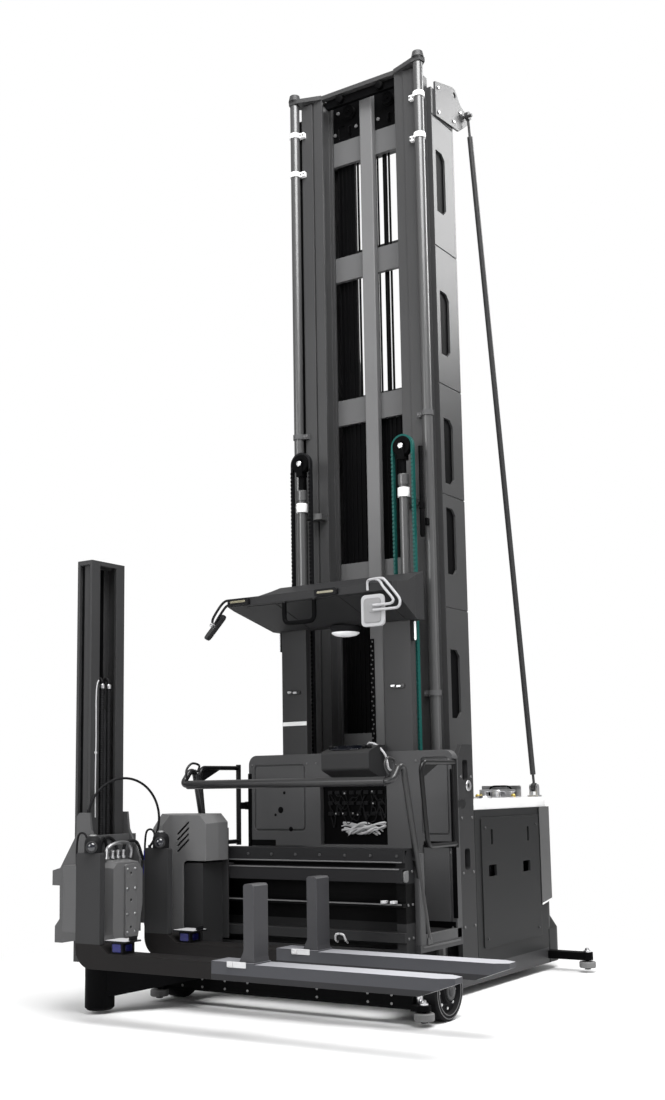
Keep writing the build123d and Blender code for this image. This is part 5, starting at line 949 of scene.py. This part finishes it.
def add_dark_gaps():
    """Black strips as painted shade in the narrow gaps beside the back wall, a black plate behind the louvres
    as painted shade, and the hooks of the guard rail.
    """
    # Black strips on the back wall's gaps: painted shade.
    gaps = [(0.03, 0.86, 0.742, 0.915), (0.2, 0.036, 0.64, 0.905), (0.2, 0.036, 0.64, 0.446)]
    for s, side in zip(SIDES, SIDE_NAMES):
        strips = []
        for width, height, x, z in gaps:
            strip = slab(width, height, 0.002, corner=0.003, edge=0.0006)
            strips.append(scattered(strip, [(s * x, WALL_FRONT, z)], FRONT))
        piece("wall_gap_shade_" + side, joined(*strips), black, "platform")
    # A black plate behind the louvres: painted shade inside the cover.
    backing = slab(0.15, 0.2, 0.004)
    spots = [(-0.642, COVER_FRONT + 0.034, 0.972)]
    fitted("louvre_shade_backing", backing, spots, FRONT, black, "traverse")
    bends = ((0.716, -0.165, 1.285), (0.7, -0.2, 1.36), (0.69, -0.16, 1.405), (0.69, -0.09, 1.395),
             (0.705, -0.085, 1.36), (0.722, -0.09, 1.365))
    hooks = [tube(smooth_route([(s * x, y, z) for x, y, z in bends]), 0.007) for s in SIDES]
    piece("guard_hooks", joined(*hooks), gate_black, "platform")


def add_cover_fittings():
    """Valve block, cross rod, handle and caps beside the folded bracket on the top cover."""
    top, y = LID_TOP, 1.945
    blocks = scattered(slab(0.052, 0.046, 0.04, corner=0.008), [(0.225, y, top), (0.425, y, top)], UP)
    can = turned([(0.028, 0), (0.03, 0.004), (0.03, 0.044), (0.022, 0.052), (0.01, 0.054)], 28)
    can = scattered(can, [(0.325, y, top)], UP)
    rod = tube(np.stack([np.linspace(0.195, 0.465, 12), np.full(12, y), np.full(12, top + 0.046)], -1), 0.009)
    piece("cover_valve_block", joined(blocks, can, rod), steel, "chassis")
    bends = ((0.25, 1.985, 0.006), (0.254, 1.978, 0.052), (0.28, 1.972, 0.074), (0.34, 1.97, 0.077),
             (0.4, 1.972, 0.074), (0.424, 1.978, 0.052), (0.428, 1.985, 0.006))
    handle = smooth_route([(x, y, top + z) for x, y, z in bends])
    piece("cover_handle", tube(handle, 0.006), black, "chassis")
    cap = turned([(0.015, 0), (0.016, 0.003), (0.016, 0.016), (0.009, 0.024), (0.004, 0.025)], 20)
    fitted("cover_caps", cap, [(0.196, 1.905, top), (0.47, 1.905, top)], UP, brass, "chassis")


add_bolts()
add_chain_links()
add_mast_trim()
add_cab_trim()
add_floor_mat()
add_console()
add_mirrors()
add_wiring()
add_fork_head()
add_turret_trim()
add_wheel_trim()
add_side_trim()
add_wall_trim()
add_rear_trim()
add_dark_gaps()
add_cover_fittings()


# Floor, light and camera

SHADOW_CENTRE = (0.0, 0.5, 0.0)
SHADOW_FULL, SHADOW_GONE = 1.3, 3.4
FILL_AT_HORIZON, FILL_OVERHEAD = 0.3, 0.54
CAMERA_PLACE = Vector((4.36, -6.342, 1.25))
CAMERA_YAW, CAMERA_PITCH, CAMERA_ROLL = (math.radians(a) for a in (32.97, 8.22, -0.95))
FOCAL_PIXELS = 1295.0
FRAME_HEIGHT = 1100.0
AXIS_BELOW_MIDDLE = 50.0


def make_floor():
    """A wide pale floor: it keeps the truck's shadow near by and runs out to plain white further off."""
    corners = [[-60, -60, 0], [60, -60, 0], [60, 60, 0], [-60, 60, 0]]
    mesh = bpy.data.meshes.new("floor")
    mesh.from_pydata(corners, [], [[0, 1, 2, 3]])
    mat, tree, shader = shaded("floor_paint", {"Base Color": (0.93, 0.93, 0.93, 1), "Roughness": 0.9,
                                               "Specular IOR Level": 0.1})
    plain = add(tree, "ShaderNodeEmission")
    plain.inputs["Color"].default_value = WHITE
    coords = add(tree, "ShaderNodeTexCoord")
    reach = add(tree, "ShaderNodeVectorMath", operation="DISTANCE")
    reach.inputs[1].default_value = SHADOW_CENTRE
    fade = add(tree, "ShaderNodeMapRange", interpolation_type="SMOOTHSTEP",
               from_min=SHADOW_FULL, from_max=SHADOW_GONE)
    path = add(tree, "ShaderNodeLightPath")
    share = add(tree, "ShaderNodeMath", operation="MULTIPLY")
    mix = add(tree, "ShaderNodeMixShader")
    link(tree, coords, "Object", reach, 0)
    link(tree, reach, "Value", fade, "Value")
    link(tree, fade, "Result", share, 0)
    link(tree, path, "Is Camera Ray", share, 1)
    link(tree, share, "Value", mix, "Fac")
    link(tree, shader, "BSDF", mix, 1)
    link(tree, plain, "Emission", mix, 2)
    link(tree, mix, "Shader", tree.nodes["Material Output"], "Surface")
    mesh.materials.append(mat)
    floor = bpy.data.objects.new("floor", mesh)
    scene.collection.objects.link(floor)


def soft_box(name, place, target, size, power):
    """A square soft lamp at a place, turned to a target."""
    lamp = bpy.data.lights.new(name, "AREA")
    lamp.size = size
    lamp.energy = power
    obj = bpy.data.objects.new(name, lamp)
    obj.location = place
    obj.rotation_euler = (Vector(target) - Vector(place)).to_track_quat("-Z", "Y").to_euler()
    obj.visible_camera = False
    scene.collection.objects.link(obj)


def light_studio():
    """White surroundings for the camera, a dimmer light that grows overhead for the rest, and soft boxes."""
    world = bpy.data.worlds.new("studio")
    scene.world = world
    world.use_nodes = True
    tree = world.node_tree
    tree.nodes.clear()
    out = add(tree, "ShaderNodeOutputWorld")
    seen = add(tree, "ShaderNodeBackground")
    fill = add(tree, "ShaderNodeBackground")
    for background in (seen, fill):
        background.inputs["Color"].default_value = WHITE
    coords = add(tree, "ShaderNodeTexCoord")
    parts = add(tree, "ShaderNodeSeparateXYZ")
    height = add(tree, "ShaderNodeMapRange", to_min=FILL_AT_HORIZON, to_max=FILL_OVERHEAD)
    path = add(tree, "ShaderNodeLightPath")
    mix = add(tree, "ShaderNodeMixShader")
    link(tree, coords, "Generated", parts, "Vector")
    link(tree, parts, "Z", height, "Value")
    link(tree, height, "Result", fill, "Strength")
    link(tree, path, "Is Camera Ray", mix, "Fac")
    link(tree, fill, 0, mix, 1)
    link(tree, seen, 0, mix, 2)
    link(tree, mix, 0, out, "Surface")
    soft_box("high_key", (3.5, -3.0, 9.5), (0, 0.3, 1.5), 6.0, 1200)
    soft_box("mast_rim", (3.4, 5.4, 7.5), (0.4, 1.1, 4.9), 3.0, 290)
    soft_box("side_fill", (8.0, 0.5, 3.0), (0.5, 1.0, 1.5), 3.0, 40)
    soft_box("front_fill", (-2.5, -7.5, 4.2), (0.0, 0.5, 2.8), 4.0, 270)


def place_camera():
    """The photograph's view: yaw, pitch, then roll, the optical axis a little below the frame's middle."""
    ahead0 = Vector((-math.sin(CAMERA_YAW), math.cos(CAMERA_YAW), 0))
    right0 = Vector((math.cos(CAMERA_YAW), math.sin(CAMERA_YAW), 0))
    ahead = ahead0 * math.cos(CAMERA_PITCH) + Vector((0, 0, 1)) * math.sin(CAMERA_PITCH)
    up0 = Vector((0, 0, 1)) * math.cos(CAMERA_PITCH) - ahead0 * math.sin(CAMERA_PITCH)
    right = right0 * math.cos(CAMERA_ROLL) + up0 * math.sin(CAMERA_ROLL)
    up = up0 * math.cos(CAMERA_ROLL) - right0 * math.sin(CAMERA_ROLL)
    camera = bpy.data.cameras.new("photo_camera")
    camera.sensor_fit = "VERTICAL"
    camera.sensor_height = 36.0
    camera.lens = camera.sensor_height * FOCAL_PIXELS / FRAME_HEIGHT
    camera.shift_y = AXIS_BELOW_MIDDLE / FRAME_HEIGHT
    camera.clip_end = 200
    obj = bpy.data.objects.new("photo_camera", camera)
    turn = Matrix((right, up, -ahead)).transposed()
    obj.matrix_world = Matrix.Translation(CAMERA_PLACE) @ turn.to_4x4()
    scene.collection.objects.link(obj)
    scene.camera = obj


scene.view_settings.view_transform = "Standard"
make_floor()
light_studio()
place_camera()
